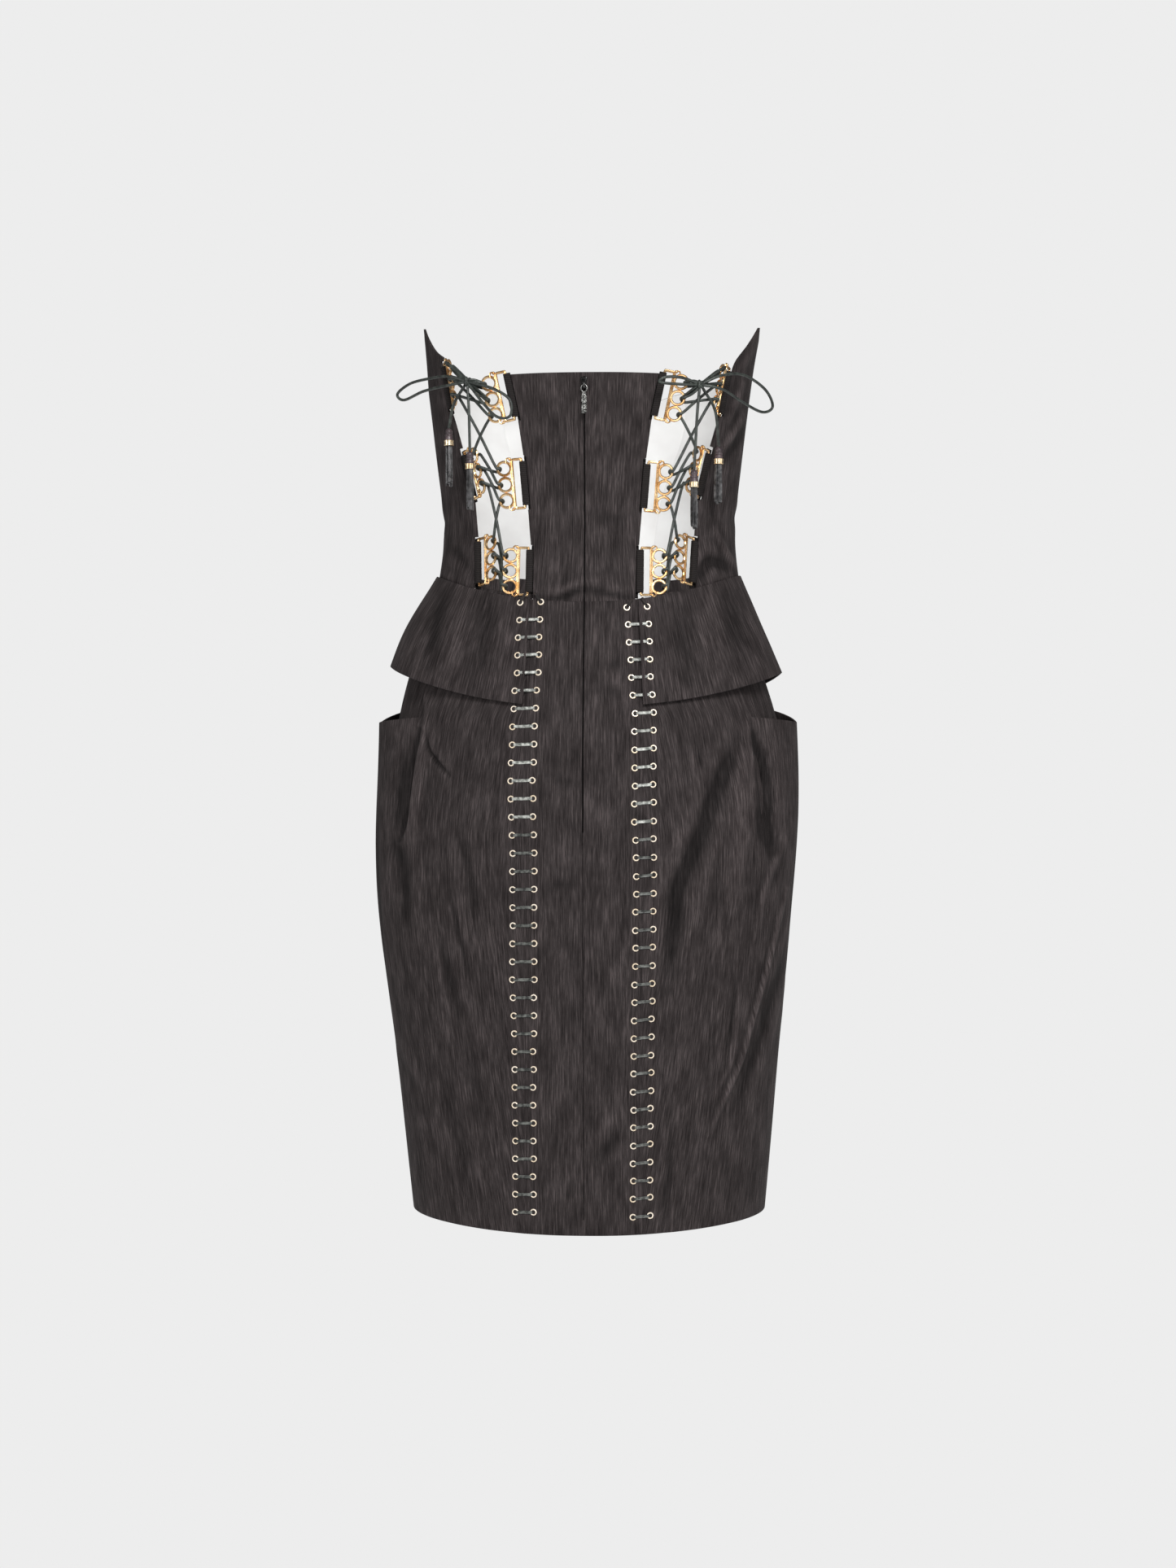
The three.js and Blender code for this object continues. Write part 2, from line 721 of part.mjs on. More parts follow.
function makePlates(side) {
  const flat = plateGeometry();
  const casing = loopGeometry();
  framesOf(side).forEach((row, k) => {
    for (const edge of ["inner", "outer"]) {
      const { at, up, inCloth, toward } = row[edge];
      const name = edge + "_" + plates[k].name;
      addSide("ring_plate_" + name, stand(flat, at, toward, up), "gold", side);
      const across = new THREE.Vector3().crossVectors(up, inCloth);
      addSide("plate_loop_" + name, stand(casing, at, inCloth, across), "loop", side);
    }
  });
}

// Lace
const vector = (row) => new THREE.Vector3(...row);
const curve = (points, count) => new THREE.CatmullRomCurve3(points).getSpacedPoints(count);

class Route extends THREE.Curve {
  constructor(points) {
    super();
    this.points = points;
  }
  getPoint(t) {
    const along = clamp(t, 0, 1) * (this.points.length - 1);
    const k = Math.min(Math.floor(along), this.points.length - 2);
    return this.points[k].clone().lerp(this.points[k + 1], along - k);
  }
  getPointAt(t) {
    return this.getPoint(t);
  }
  getTangentAt(t) {
    return this.getTangent(t, new THREE.Vector3());
  }
}

// A round tube with a ring of corners at each place of its route.
function tube(points, diameter) {
  return new THREE.ExtrudeGeometry(new THREE.Shape(circle(diameter / 2, roundGrid.lace)), {
    steps: points.length - 1,
    extrudePath: new Route(points),
    bevelEnabled: false,
  });
}

function toSolid(geometry) {
  const bare = geometry.index ? geometry.toNonIndexed() : geometry.clone();
  bare.deleteAttribute("normal");
  bare.deleteAttribute("uv");
  const merged = mergeVertices(bare, 1e-3);
  const vertProperties = new Float32Array(merged.attributes.position.array);
  const triVerts = new Uint32Array(merged.index.array);
  return new wasm.Manifold(new wasm.Mesh({ numProp: 3, vertProperties, triVerts }));
}
function joined(geometries) {
  const mesh = geometries.map(toSolid).reduce((a, b) => a.add(b)).getMesh();
  const geometry = new THREE.BufferGeometry();
  const position = new Float32Array(mesh.vertProperties);
  geometry.setAttribute("position", new THREE.BufferAttribute(position, 3));
  return geometry.setIndex(Array.from(mesh.triVerts));
}

// The rings along one edge from the bottom up
const ringsOf = (frames, edge) =>
  [...frames].reverse().flatMap((row) => {
    const { at, up, toward, face } = row[edge];
    return [-1, 0, 1].map((k) => ({
      at: moved(at, [toward, plate.foot + plate.toRing], [up, k * plate.pitch]),
      up,
      toward,
      face,
    }));
  });

// The lace comes up from behind the wire that faces the gap, through the ring, and over it again.
function aroundRing(ring) {
  const { slack, shoulder, past, drift } = lacing;
  const off = wire / 2 + lace / 2 + slack;
  const beside = shoulder * off;
  const turns = [
    { toward: past, face: -off, up: -drift },
    { toward: -beside, face: -beside, up: -drift / 2 },
    { toward: -off, face: 0, up: 0 },
    { toward: -beside, face: beside, up: drift / 2 },
    { toward: past, face: off, up: drift },
  ];
  return turns.map(({ toward, face, up }) =>
    moved(ring.at, [ring.toward, plate.ring + toward], [ring.face, face], [ring.up, up]),
  );
}

function makeLacing(side) {
  const frames = framesOf(side);
  const inner = ringsOf(frames, "inner");
  const outer = ringsOf(frames, "outer");
  const knot = vector(bows[side].knot);
  const strand = (first) => {
    const points = [];
    inner.forEach((_, k) => {
      const onInner = (k + first) % 2 === 0;
      const ring = onInner ? inner[k] : outer[k];
      const next = aroundRing(ring);
      if (k > 0) {
        const last = points[points.length - 1];
        const clear = lace * (onInner ? lacing.cross : -lacing.cross);
        points.push(moved(last.clone().lerp(next[0], 0.5), [ring.face, clear]));
      }
      points.push(...next);
    });
    const last = points[points.length - 1];
    const toKnot = knot.clone().sub(last);
    const stop = (toKnot.length() - knotSize / 2 - lace) / toKnot.length();
    return [...points, moved(last, [toKnot, stop])];
  };
  const [a, b] = [strand(0), strand(1)];
  const foot = a[0].clone().lerp(b[0], 0.5);
  addSide("lacing", tube([...a.reverse(), foot, ...b], lace), "lace", side);
}

function makeBow(side) {
  const { knot, loops, tails } = bows[side];
  const middle = vector(knot);
  const ball = new THREE.IcosahedronGeometry(knotSize / 2, 1);
  ball.translate(middle.x, middle.y, middle.z);
  const loopTubes = loops.map((loopPoints) =>
    tube(curve([middle, ...loopPoints.map(vector), middle], bowSteps.loop), lace),
  );
  addSide("bow", joined([ball, ...loopTubes]), "lace", side);
  for (const { name, from, through, cap } of tails) {
    const end = vector(cap);
    const route = curve([vector(from), vector(through), end], bowSteps.tail);
    addSide("lace_tail_" + name, tube(route, lace), "lace", side);
    addSide("tassel_" + name, tasselGeometry(end), "leather", side);
    const { ferrule, capLength, neck } = tassel;
    const ring = tubeRing(neck + seamGap, ferrule, ferruleLength);
    ring.translate(end.x, end.y, end.z - capLength - seamGap - ferruleLength);
    addSide("ferrule_" + name, ring, "gold", side);
  }
}

// A short upright tube
function tubeRing(inside, outside, length) {
  const shape = new THREE.Shape().absarc(0, 0, outside, 0, 2 * Math.PI);
  shape.holes.push(new THREE.Path().absarc(0, 0, inside, 0, 2 * Math.PI));
  return new THREE.ExtrudeGeometry(shape, {
    depth: length,
    bevelEnabled: false,
    curveSegments: roundGrid.ferrule,
  });
}

function tasselGeometry(top) {
  const { cap, capLength, dome, topGap, neck } = tassel;
  const rootTop = -capLength - ferruleLength - seamGap * 2;
  const profile = [
    [0, rootTop - cap],
    [neck, rootTop - cap],
    [neck, -capLength],
    [cap, -capLength],
    [cap, -topGap - dome],
    [cap - dome, -topGap],
    [0, -topGap],
  ];
  const corners = profile.map(([x, y]) => new THREE.Vector2(x, y));
  const head = new THREE.LatheGeometry(corners, roundGrid.cap);
  head.rotateX(Math.PI / 2);
  const straps = steps(strap.count - 1).map((_, k) => {
    const turn = (2 * Math.PI * (k + 0.5)) / strap.count;
    const piece = new THREE.BoxGeometry(strap.wide, strap.thick, strap.long, 1, 1, roundGrid.strap);
    piece.translate(0, 0, -strap.long / 2);
    const at = piece.attributes.position;
    for (let i = 0; i < at.count; i++) {
      const down = -at.getZ(i) / strap.long;
      const out = neck - strap.root + strapFall.spread * Math.sin(strapFall.turnIn * Math.PI * down);
      at.setY(i, at.getY(i) + out);
    }
    piece.scale(1, 1, 1 - strap.shorter * ((k * 2) % 3));
    return piece.rotateZ(turn).translate(0, 0, rootTop);
  });
  return joined([head, ...straps]).translate(top.x, top.y, top.z);
}

// Zip slider with a wire eye, and the pull that hangs and turns in it
function makeZip() {
  const face = formPoint(90, slider.middle).y;
  const { wide, long, thick } = slider;
  // Across and up, as shares of the width and the length
  const waisted = [
    [-0.5, 0.5],
    [-0.32, 0.05],
    [-0.36, -0.5],
    [0.36, -0.5],
    [0.32, 0.05],
    [0.5, 0.5],
  ];
  const outline = new THREE.Shape(waisted.map(([x, z]) => new THREE.Vector2(x * wide, z * long)));
  const body = new THREE.ExtrudeGeometry(outline, { depth: thick, bevelEnabled: false });
  body.rotateX(Math.PI / 2).translate(0, thick, 0);
  const eyeMiddle = -long / 2 + eye.radius + eye.up;
  const bend = steps(roundGrid.eye).map((t) => {
    const turn = Math.PI * t;
    const out = thick - eye.sunk + eye.radius * Math.sin(turn);
    return new THREE.Vector3(0, out, eyeMiddle + eye.radius * Math.cos(turn));
  });
  const arch = tube(bend, eye.wire);
  const whole = joined([body, arch]);
  whole.translate(0, face + slider.offCloth, slider.middle);
  add("zip_slider", whole, "zip");

  const axis = { y: face + slider.offCloth + thick + pullSlack, z: slider.middle + eyeMiddle };
  const { bar, frameWide, frameLong, tagWide, tagLong } = pull;
  const frame = new THREE.Shape(
    [
      [-frameWide / 2, bar / 2],
      [-frameWide / 2, -frameLong],
      [frameWide / 2, -frameLong],
      [frameWide / 2, bar / 2],
    ].map(([x, z]) => new THREE.Vector2(x, z)),
  );
  frame.holes.push(
    new THREE.Path(
      [
        [-frameWide / 2 + bar, -bar / 2],
        [frameWide / 2 - bar, -bar / 2],
        [frameWide / 2 - bar, -frameLong + bar],
        [-frameWide / 2 + bar, -frameLong + bar],
      ].map(([x, z]) => new THREE.Vector2(x, z)),
    ),
  );
  const ring = new THREE.ExtrudeGeometry(frame, { depth: bar, bevelEnabled: false });
  ring.rotateX(Math.PI / 2).translate(0, bar / 2, 0);
  const tag = new THREE.BoxGeometry(tagWide, pull.thick, tagLong);
  tag.translate(0, 0, -frameLong + bar / 2 - tagLong / 2);
  const hung = joined([ring, tag]).translate(0, axis.y, axis.z);
  add("zip_pull", hung, "zip");
}

makeBodice();
makeSkirt();
makeZip();
for (const side in mirror) {
  makePeplum(side);
  makePlates(side);
  makeLacing(side);
  makeBow(side);
}

// The dress stands over to one side a little, most at its sides and not at all in the middle.
for (const mesh of dress.children) {
  const at = mesh.geometry.attributes.position;
  for (let i = 0; i < at.count; i++) {
    const share = at.getX(i) / read(sections, "height", "side", at.getZ(i));
    const over = read(sway, "height", "across", at.getZ(i)) * share * share;
    at.setX(i, at.getX(i) + over * mesh.scale.x);
  }
}

dress.position.z = -waistHeight;
const part = new THREE.Group();
part.add(dress);
export default part;
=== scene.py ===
import math
import random
from itertools import product

import bmesh
import bpy
import numpy as np
from mathutils import Matrix, Vector
from mathutils.bvhtree import BVHTree


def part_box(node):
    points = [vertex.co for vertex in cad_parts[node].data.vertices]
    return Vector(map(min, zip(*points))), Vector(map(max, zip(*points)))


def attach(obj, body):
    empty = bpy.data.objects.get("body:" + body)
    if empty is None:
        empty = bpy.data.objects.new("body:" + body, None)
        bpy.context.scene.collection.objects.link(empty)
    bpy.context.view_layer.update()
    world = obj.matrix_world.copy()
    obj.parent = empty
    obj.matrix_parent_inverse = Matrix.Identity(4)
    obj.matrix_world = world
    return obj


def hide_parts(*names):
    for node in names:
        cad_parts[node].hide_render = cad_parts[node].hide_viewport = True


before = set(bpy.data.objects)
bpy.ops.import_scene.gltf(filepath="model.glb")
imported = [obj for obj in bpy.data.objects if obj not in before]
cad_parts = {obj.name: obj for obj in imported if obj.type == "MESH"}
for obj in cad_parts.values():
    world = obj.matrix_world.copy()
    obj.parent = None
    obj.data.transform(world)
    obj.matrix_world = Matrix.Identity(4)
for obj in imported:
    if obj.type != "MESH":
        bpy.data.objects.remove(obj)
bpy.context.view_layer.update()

# Camera. It looks at the back of the dress from 1.9 m away, level with the hips and a little to
# one side, so that the long side of the picture takes in 1.35 m.
MM = 0.001
CAMERA_YAW = math.radians(2.4)
CAMERA_AWAY = 1900 * MM
CAMERA_ASIDE = 1 * MM
CAMERA_HEIGHT = -213 * MM
PICTURE_HEIGHT = 1348.9 * MM


def in_scene(name, data):
    """A new object with its data, in the scene."""
    piece = bpy.data.objects.new(name, data)
    bpy.context.scene.collection.objects.link(piece)
    return piece


camera_data = bpy.data.cameras.new("camera")
camera_data.lens = camera_data.sensor_width * CAMERA_AWAY / PICTURE_HEIGHT
camera = in_scene("camera", camera_data)
toward_camera = Vector((-math.sin(CAMERA_YAW), math.cos(CAMERA_YAW), 0))
camera.location = toward_camera * CAMERA_AWAY + Vector((CAMERA_ASIDE, 0, CAMERA_HEIGHT))
camera.rotation_euler = (math.pi / 2, 0, math.pi + CAMERA_YAW)
bpy.context.scene.camera = camera
bpy.context.scene.view_settings.view_transform = "Standard"


# Leather lace: round-cut black calf, 2.4 mm thick, dyed a cold green black. It is the first piece
# made, so what every material needs comes with it: the colour and the node function.
def linear(hex_colour):
    """An sRGB hex colour as linear red, green, blue and alpha."""
    channels = [int(hex_colour[k : k + 2], 16) / 255 for k in (1, 3, 5)]
    return [c / 12.92 if c <= 0.04045 else ((c + 0.055) / 1.055) ** 2.4 for c in channels] + [1]


def fill(node, inputs):
    """Sets a node's inputs by name. An input is a value, or a socket to link."""
    for name, value in inputs.items():
        if isinstance(value, bpy.types.NodeSocket):
            node.id_data.links.new(value, node.inputs[name])
        else:
            node.inputs[name].default_value = value


def add_node(tree, kind, inputs=None, output=0, stops=(), **settings):
    """Adds a node with its settings and links, and gives one of its outputs. The stops are a
    ramp's places and their sRGB hex colours."""
    node = tree.nodes.new(kind)
    for name, value in settings.items():
        setattr(node, name, value)
    for k, (place, colour) in enumerate(stops):
        elements = node.color_ramp.elements
        element = elements[k] if k < len(elements) else elements.new(place)
        element.position = place
        element.color = linear(colour)
    fill(node, inputs or {})
    return node.outputs[output]


def new_material(name, **shader_values):
    """A material, its nodes and its shader. Values are the shader's own sockets."""
    material = bpy.data.materials.new(name)
    material.use_nodes = True
    shader = material.node_tree.nodes["Principled BSDF"]
    fill(shader, {socket.replace("_", " "): value for socket, value in shader_values.items()})
    return material, material.node_tree, shader


def leather(name, dark, light, grain, gloss):
    """Dyed calf. The grain is the size of its pebbles in metres, lighter where it is rubbed."""
    material, tree, shader = new_material(name)
    place = add_node(tree, "ShaderNodeTexCoord", output="Object")
    pebbles = add_node(tree, "ShaderNodeTexVoronoi", {"Vector": place, "Scale": 1 / grain})
    rubbed = add_node(tree, "ShaderNodeTexNoise", {"Vector": place, "Scale": 0.25 / grain, "Detail": 4.0})
    colour = add_node(tree, "ShaderNodeValToRGB", {"Fac": rubbed}, stops=[(0.38, dark), (0.68, light)])
    sheen = {"Value": rubbed, "To Min": gloss + 0.12, "To Max": gloss - 0.1}
    rough = add_node(tree, "ShaderNodeMapRange", sheen)
    relief = add_node(tree, "ShaderNodeBump", {"Height": pebbles, "Distance": 0.12 * grain})
    fill(shader, {"Base Color": colour, "Roughness": rough, "Normal": relief})
    return material


lace_leather = leather("calf_lace", "#1d211e", "#3c423d", grain=1.1 * MM, gloss=0.42)


# Bows. Each side's lace ends in a bow at the top of its gap: a knot with two loops, of which the
# outer one stands out past the side of the dress, and two tails that hang down to their tassels.
# Rows are places in millimetres from the middle, with heights above the hem.
LACE = 2.4
WAIST = 575
bows = {
    "left": {
        "knot": (96.5, 90, 692.5),
        "loops": {
            "outer": [(112, 84, 698), (132, 58, 701), (152, 24, 703), (164.5, 9, 697),
                      (158, 14, 691), (137, 50, 692), (113, 82, 691)],
            "inner": [(84, 98, 675), (71, 106, 661), (60, 108, 661), (60, 108, 674), (74, 104, 684)],
        },
        "tails": {
            "outer": [(98.7, 88.3, 689.6), (109, 77, 676), (114, 68, 658)],
            "inner": [(96.2, 90.9, 688.7), (95, 91.5, 668), (94.4, 89, 635.5)],
        },
    },
    "right": {
        "knot": (94.5, 90, 688.5),
        "loops": {
            "outer": [(112, 84, 697), (131, 58, 702), (150, 24, 696), (157, 10, 684),
                      (148, 20, 677.5), (131, 52, 680), (112, 84, 686)],
            "inner": [(80, 100, 692.5), (66, 106, 692), (62, 106, 688), (79, 101, 687)],
        },
        "tails": {
            "outer": [(96.9, 88.3, 685.7), (107, 78, 669), (110, 70, 641)],
            "inner": [(93.9, 90.9, 684.7), (92, 91.5, 662), (89.6, 89, 619.5)],
        },
    },
}
SIDES = {"left": 1, "right": -1}


def placed(row, side):
    """A row of a table on one side of the dress, in metres from the waist."""
    return Vector((row[0] * SIDES[side], row[1], row[2] - WAIST)) * MM


def smooth_line(points, per_span):
    """A smooth line through all the points."""
    line = []
    for k in range(len(points) - 1):
        before = points[k - 1] if k else points[0] * 2 - points[1]
        a, b = points[k], points[k + 1]
        after = points[k + 2] if k + 2 < len(points) else points[-1] * 2 - points[-2]
        for step in range(per_span):
            t = step / per_span
            line.append(
                a
                + (b - before) * (0.5 * t * (1 - t) ** 2)
                - (after - a) * (0.5 * t * t * (1 - t))
                + (b - a) * (t * t * (3 - 2 * t))
            )
    return line + [points[-1]]


def lace_curve(name, line):
    """A lace along a line, as a curve with its real thickness."""
    data = bpy.data.curves.new(name, "CURVE")
    data.dimensions = "3D"
    data.bevel_depth = LACE / 2 * MM
    data.bevel_resolution = 3
    data.use_fill_caps = True
    spline = data.splines.new("POLY")
    spline.points.add(len(line) - 1)
    for point, place in zip(spline.points, line):
        point.co = (*place, 1)
    data.materials.append(lace_leather)
    return in_scene(name, data)


tails = {}
for side, bow in bows.items():
    knot = placed(bow["knot"], side)
    for which, rows in bow["loops"].items():
        line = smooth_line([knot] + [placed(row, side) for row in rows] + [knot], 8)
        piece = lace_curve(f"bow_loop_{which}_{side}", line)
        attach(piece, "dress")
        if which == "outer":
            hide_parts(f"bow_{side}")
    for which, rows in bow["tails"].items():
        line = smooth_line([placed(row, side) for row in rows], 14)
        piece = lace_curve(f"bow_tail_{which}_{side}", line)
        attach(piece, "dress")
        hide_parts(f"lace_tail_{which}_{side}")
        tails[which, side] = piece, line


# Knots. Each bow's knot is the same leather lace, wound twice round itself and pulled tight, about
# 8 mm across. It hangs between the top plates, held by its own strands.
KNOT_ROUNDS = 2
KNOT_STEPS = 24
KNOT_RADIUS = 2.6
KNOT_HALF_WIDE = 1.9


def mesh_piece(name, points, faces, material):
    """A piece from its corners and faces."""
    mesh = bpy.data.meshes.new(name)
    mesh.from_pydata(points, [], faces)
    mesh.materials.append(material)
    return in_scene(name, mesh)


def tube_faces(rows, sides, first=0):
    """The faces of a tube with closed ends, whose corners go round it row by row."""
    last = first + (rows - 1) * sides
    faces = []
    for start in range(first, last, sides):
        for i in range(sides):
            a, b = start + i, start + (i + 1) % sides
            faces.append((a, b, b + sides, a + sides))
    faces.append(tuple(reversed(range(first, first + sides))))
    faces.append(tuple(range(last, last + sides)))
    return faces


def tube_mesh(name, line, radius, sides, material):
    """A round tube along a line, with closed ends."""
    upright = abs((line[1] - line[0]).normalized().z) >= 0.9
    normal = Vector((1, 0, 0)) if upright else Vector((0, 0, 1))
    points = []
    for k, place in enumerate(line):
        along = (line[min(k + 1, len(line) - 1)] - line[max(k - 1, 0)]).normalized()
        normal = (normal - along * normal.dot(along)).normalized()
        across = along.cross(normal)
        for side in range(sides):
            turn = 2 * math.pi * side / sides
            points.append(place + (normal * math.cos(turn) + across * math.sin(turn)) * radius)
    piece = mesh_piece(name, points, tube_faces(len(line), sides), material)
    piece.data.shade_smooth()
    return piece


for side, bow in bows.items():
    centre = placed(bow["knot"], side)
    wraps = []
    for k in range(KNOT_ROUNDS * KNOT_STEPS + 1):
        turn = 2 * math.pi * k / KNOT_STEPS
        swell = KNOT_RADIUS + 0.5 * math.sin(turn * 1.5)
        width = KNOT_HALF_WIDE * math.sin(turn * 0.5) + 0.6 * math.cos(turn * 2)
        wraps.append(centre + Vector((width, swell * math.cos(turn), swell * math.sin(turn))) * MM)
    knot = tube_mesh(f"bow_knot_{side}", wraps, LACE / 2 * MM, 10, lace_leather)
    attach(knot, "dress")


# Tassels. Each tail ends in a turned calf cap with a ridge round it, a pressed gold ferrule below
# the cap, and a bundle of cut leather straps that is glued into both.
def pick(piece):
    """Makes a piece the only one that is picked."""
    bpy.ops.object.select_all(action="DESELECT")
    piece.select_set(True)
    bpy.context.view_layer.objects.active = piece


def close_ends(tolerance):
    """Welds the piece being edited, closes its ends and turns its faces outwards."""
    bpy.ops.mesh.select_all(action="SELECT")
    bpy.ops.mesh.remove_doubles(threshold=tolerance * MM)
    bpy.ops.mesh.fill_holes(sides=0)
    bpy.ops.mesh.select_all(action="SELECT")
    bpy.ops.mesh.normals_make_consistent(inside=False)
    bpy.ops.object.mode_set(mode="OBJECT")


def turned(name, profile, sides, material):
    """A piece made round its own axis: a ring of points that is extruded and scaled row by row."""
    bpy.ops.object.select_all(action="DESELECT")
    bpy.ops.mesh.primitive_circle_add(vertices=sides, radius=profile[0][0] * MM)
    piece = bpy.context.object
    piece.name = name
    bpy.ops.object.mode_set(mode="EDIT")
    bpy.ops.mesh.select_all(action="SELECT")
    bpy.ops.transform.translate(value=(0, 0, profile[0][1] * MM))
    for (radius, height), (next_radius, next_height) in zip(profile, profile[1:]):
        rise = (0, 0, (next_height - height) * MM)
        bpy.ops.mesh.extrude_region_move(TRANSFORM_OT_translate={"value": rise})
        grow = next_radius / radius
        bpy.ops.transform.resize(value=(grow, grow, 1), center_override=(0, 0, 0))
    close_ends(0.01)
    bpy.ops.object.shade_smooth_by_angle(angle=math.radians(35))
    piece.data.materials.append(material)
    return piece


def copy_of(piece, name, matrix):
    """A copy with its own mesh, put in place."""
    mesh = piece.data.copy()
    mesh.transform(matrix)
    if matrix.determinant() < 0:
        mesh.flip_normals()
    return in_scene(name, mesh)


def polished_brass(name, deep, pale, gloss, metal=1.0):
    """Cast and polished brass with a warm gold plate: bright, with a cloudy tone that varies at random."""
    material, tree, shader = new_material(name, Metallic=metal)
    place = add_node(tree, "ShaderNodeTexCoord", output="Object")
    cloudy = add_node(tree, "ShaderNodeTexNoise", {"Vector": place, "Scale": 1 / (9 * MM), "Detail": 3.0})
    colour = add_node(tree, "ShaderNodeValToRGB", {"Fac": cloudy}, stops=[(0.35, deep), (0.65, pale)])
    fine = add_node(tree, "ShaderNodeTexNoise", {"Vector": place, "Scale": 1 / (0.8 * MM), "Detail": 2.0})
    rough = add_node(tree, "ShaderNodeMapRange", {"Value": fine, "To Min": gloss, "To Max": gloss + 0.12})
    relief = add_node(tree, "ShaderNodeBump", {"Height": fine, "Distance": 0.02 * MM})
    fill(shader, {"Base Color": colour, "Roughness": rough, "Normal": relief})
    return material


gold = polished_brass("gold_plated_brass", "#c8935a", "#ffdcaa", gloss=0.2)
pressed_gold = polished_brass("gold_plated_ferrules", "#e3bd86", "#fff2d6", gloss=0.24)
cap_leather = leather("calf_tassel_cap", "#2a2124", "#4d4043", grain=1.6 * MM, gloss=0.4)
strap_leather = leather("calf_cut_straps", "#1d1c1d", "#5a595a", grain=0.9 * MM, gloss=0.38)

CAP_RADIUS = 3.3
CAP_LENGTH = 10
FERRULE_RADIUS = 4
FERRULE_LENGTH = 4.5
STRAP_LONG = 37
STRAPS = 15
STRAP_ROWS = 7
STRAP_HALF_THICK = 0.32
STRAP_LAYERS = (2.15, 1.0)
cap = turned(
    "cap",
    [(0.9, 0.6), (1.6, 0.2), (2.5, -0.6), (3.05, -1.8), (3.1, -3.2), (2.8, -4.0), (2.85, -4.4),
     (3.35, -5.0), (3.35, -5.9), (2.95, -6.4), (CAP_RADIUS, -7.6), (CAP_RADIUS, -CAP_LENGTH),
     (2.4, -CAP_LENGTH)],
    20,
    cap_leather,
)
ferrule = turned(
    "ferrule",
    [(2.95, 0.1), (3.75, 0), (FERRULE_RADIUS, 0.3), (FERRULE_RADIUS, 0.95), (3.8, 1.2), (3.8, 3.3),
     (FERRULE_RADIUS, 3.55), (FERRULE_RADIUS, 4.2), (3.75, FERRULE_LENGTH), (2.95, 4.4), (2.95, 0.1)],
    28,
    pressed_gold,
)


def strap_bundle(name, seed):
    """Cut straps that hang from the ferrule, each a flat strip with its own length and fall."""
    chance = random.Random(seed)
    points, faces = [], []
    for k in range(STRAPS):
        turn = 2 * math.pi * k / STRAPS * 2.0 + chance.uniform(-0.25, 0.25)
        half_wide = chance.uniform(1.5, 2.5) / 2
        long = STRAP_LONG * chance.uniform(0.86, 1.0)
        splay = chance.uniform(-0.4, 1.3)
        twist = chance.uniform(-0.5, 0.5)
        faces += tube_faces(STRAP_ROWS, 4, first=len(points))
        for row in range(STRAP_ROWS):
            down = row / (STRAP_ROWS - 1)
            out = STRAP_LAYERS[k % 2] + splay * math.sin(down * 2.3)
            facing = turn + twist * down
            across = Vector((-math.sin(facing), math.cos(facing), 0))
            face_out = Vector((math.cos(facing), math.sin(facing), 0))
            middle = Vector((math.cos(turn), math.sin(turn), 0)) * out + Vector((0, 0, -down * long))
            for a, b in ((-1, -1), (1, -1), (1, 1), (-1, 1)):
                points.append((middle + across * half_wide * a + face_out * STRAP_HALF_THICK * b) * MM)
    return mesh_piece(name, points, faces, strap_leather)


for k, ((which, side), (tail, line)) in enumerate(tails.items()):
    end = Matrix.Translation(line[-1])
    tassel = copy_of(cap, f"tassel_{which}_{side}_made", end @ Matrix.Translation((0, 0, -0.8 * MM)))
    straps = strap_bundle("straps", k)
    straps.data.transform(end @ Matrix.Translation((0, 0, -(CAP_LENGTH + 2) * MM)))
    pick(tassel)
    straps.select_set(True)
    bpy.ops.object.join()
    below_cap = end @ Matrix.Translation((0, 0, -(CAP_LENGTH + 0.3 + FERRULE_LENGTH) * MM))
    band = copy_of(ferrule, f"ferrule_{which}_{side}_made", below_cap)
    for piece, node, slot in ((tassel, "tassel", "tassel"), (band, "ferrule", "gold")):
        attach(piece, "dress")
        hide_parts(f"{node}_{which}_{side}")
for pattern in (cap, ferrule):
    bpy.data.objects.remove(pattern)


# Ring plates: brass wire bent to a frame, with three rings soldered to it and a curled end with a
# ball above and below them. The frame's far side runs inside the folded cloth loop that holds it.
WIRE = 2.3
PLATE_HALF = 20
PLATE_FOOT = 8
RING_RADIUS = 5.5
RING_MIDDLE = 14.8
RING_PITCH = 13.2
BEND = 1.5
CURL_WIRE = 1.3
CURL_START = (12.6, RING_PITCH + 4.2, 0.7)
CURL_BALL = (9.4, RING_PITCH + 7.3, 0.7)
CURL_BALL_RADIUS = 1.35
END_BALL_RADIUS = 1.15
BAR_WIRE = 1.2
BAR_INSET = 1.5


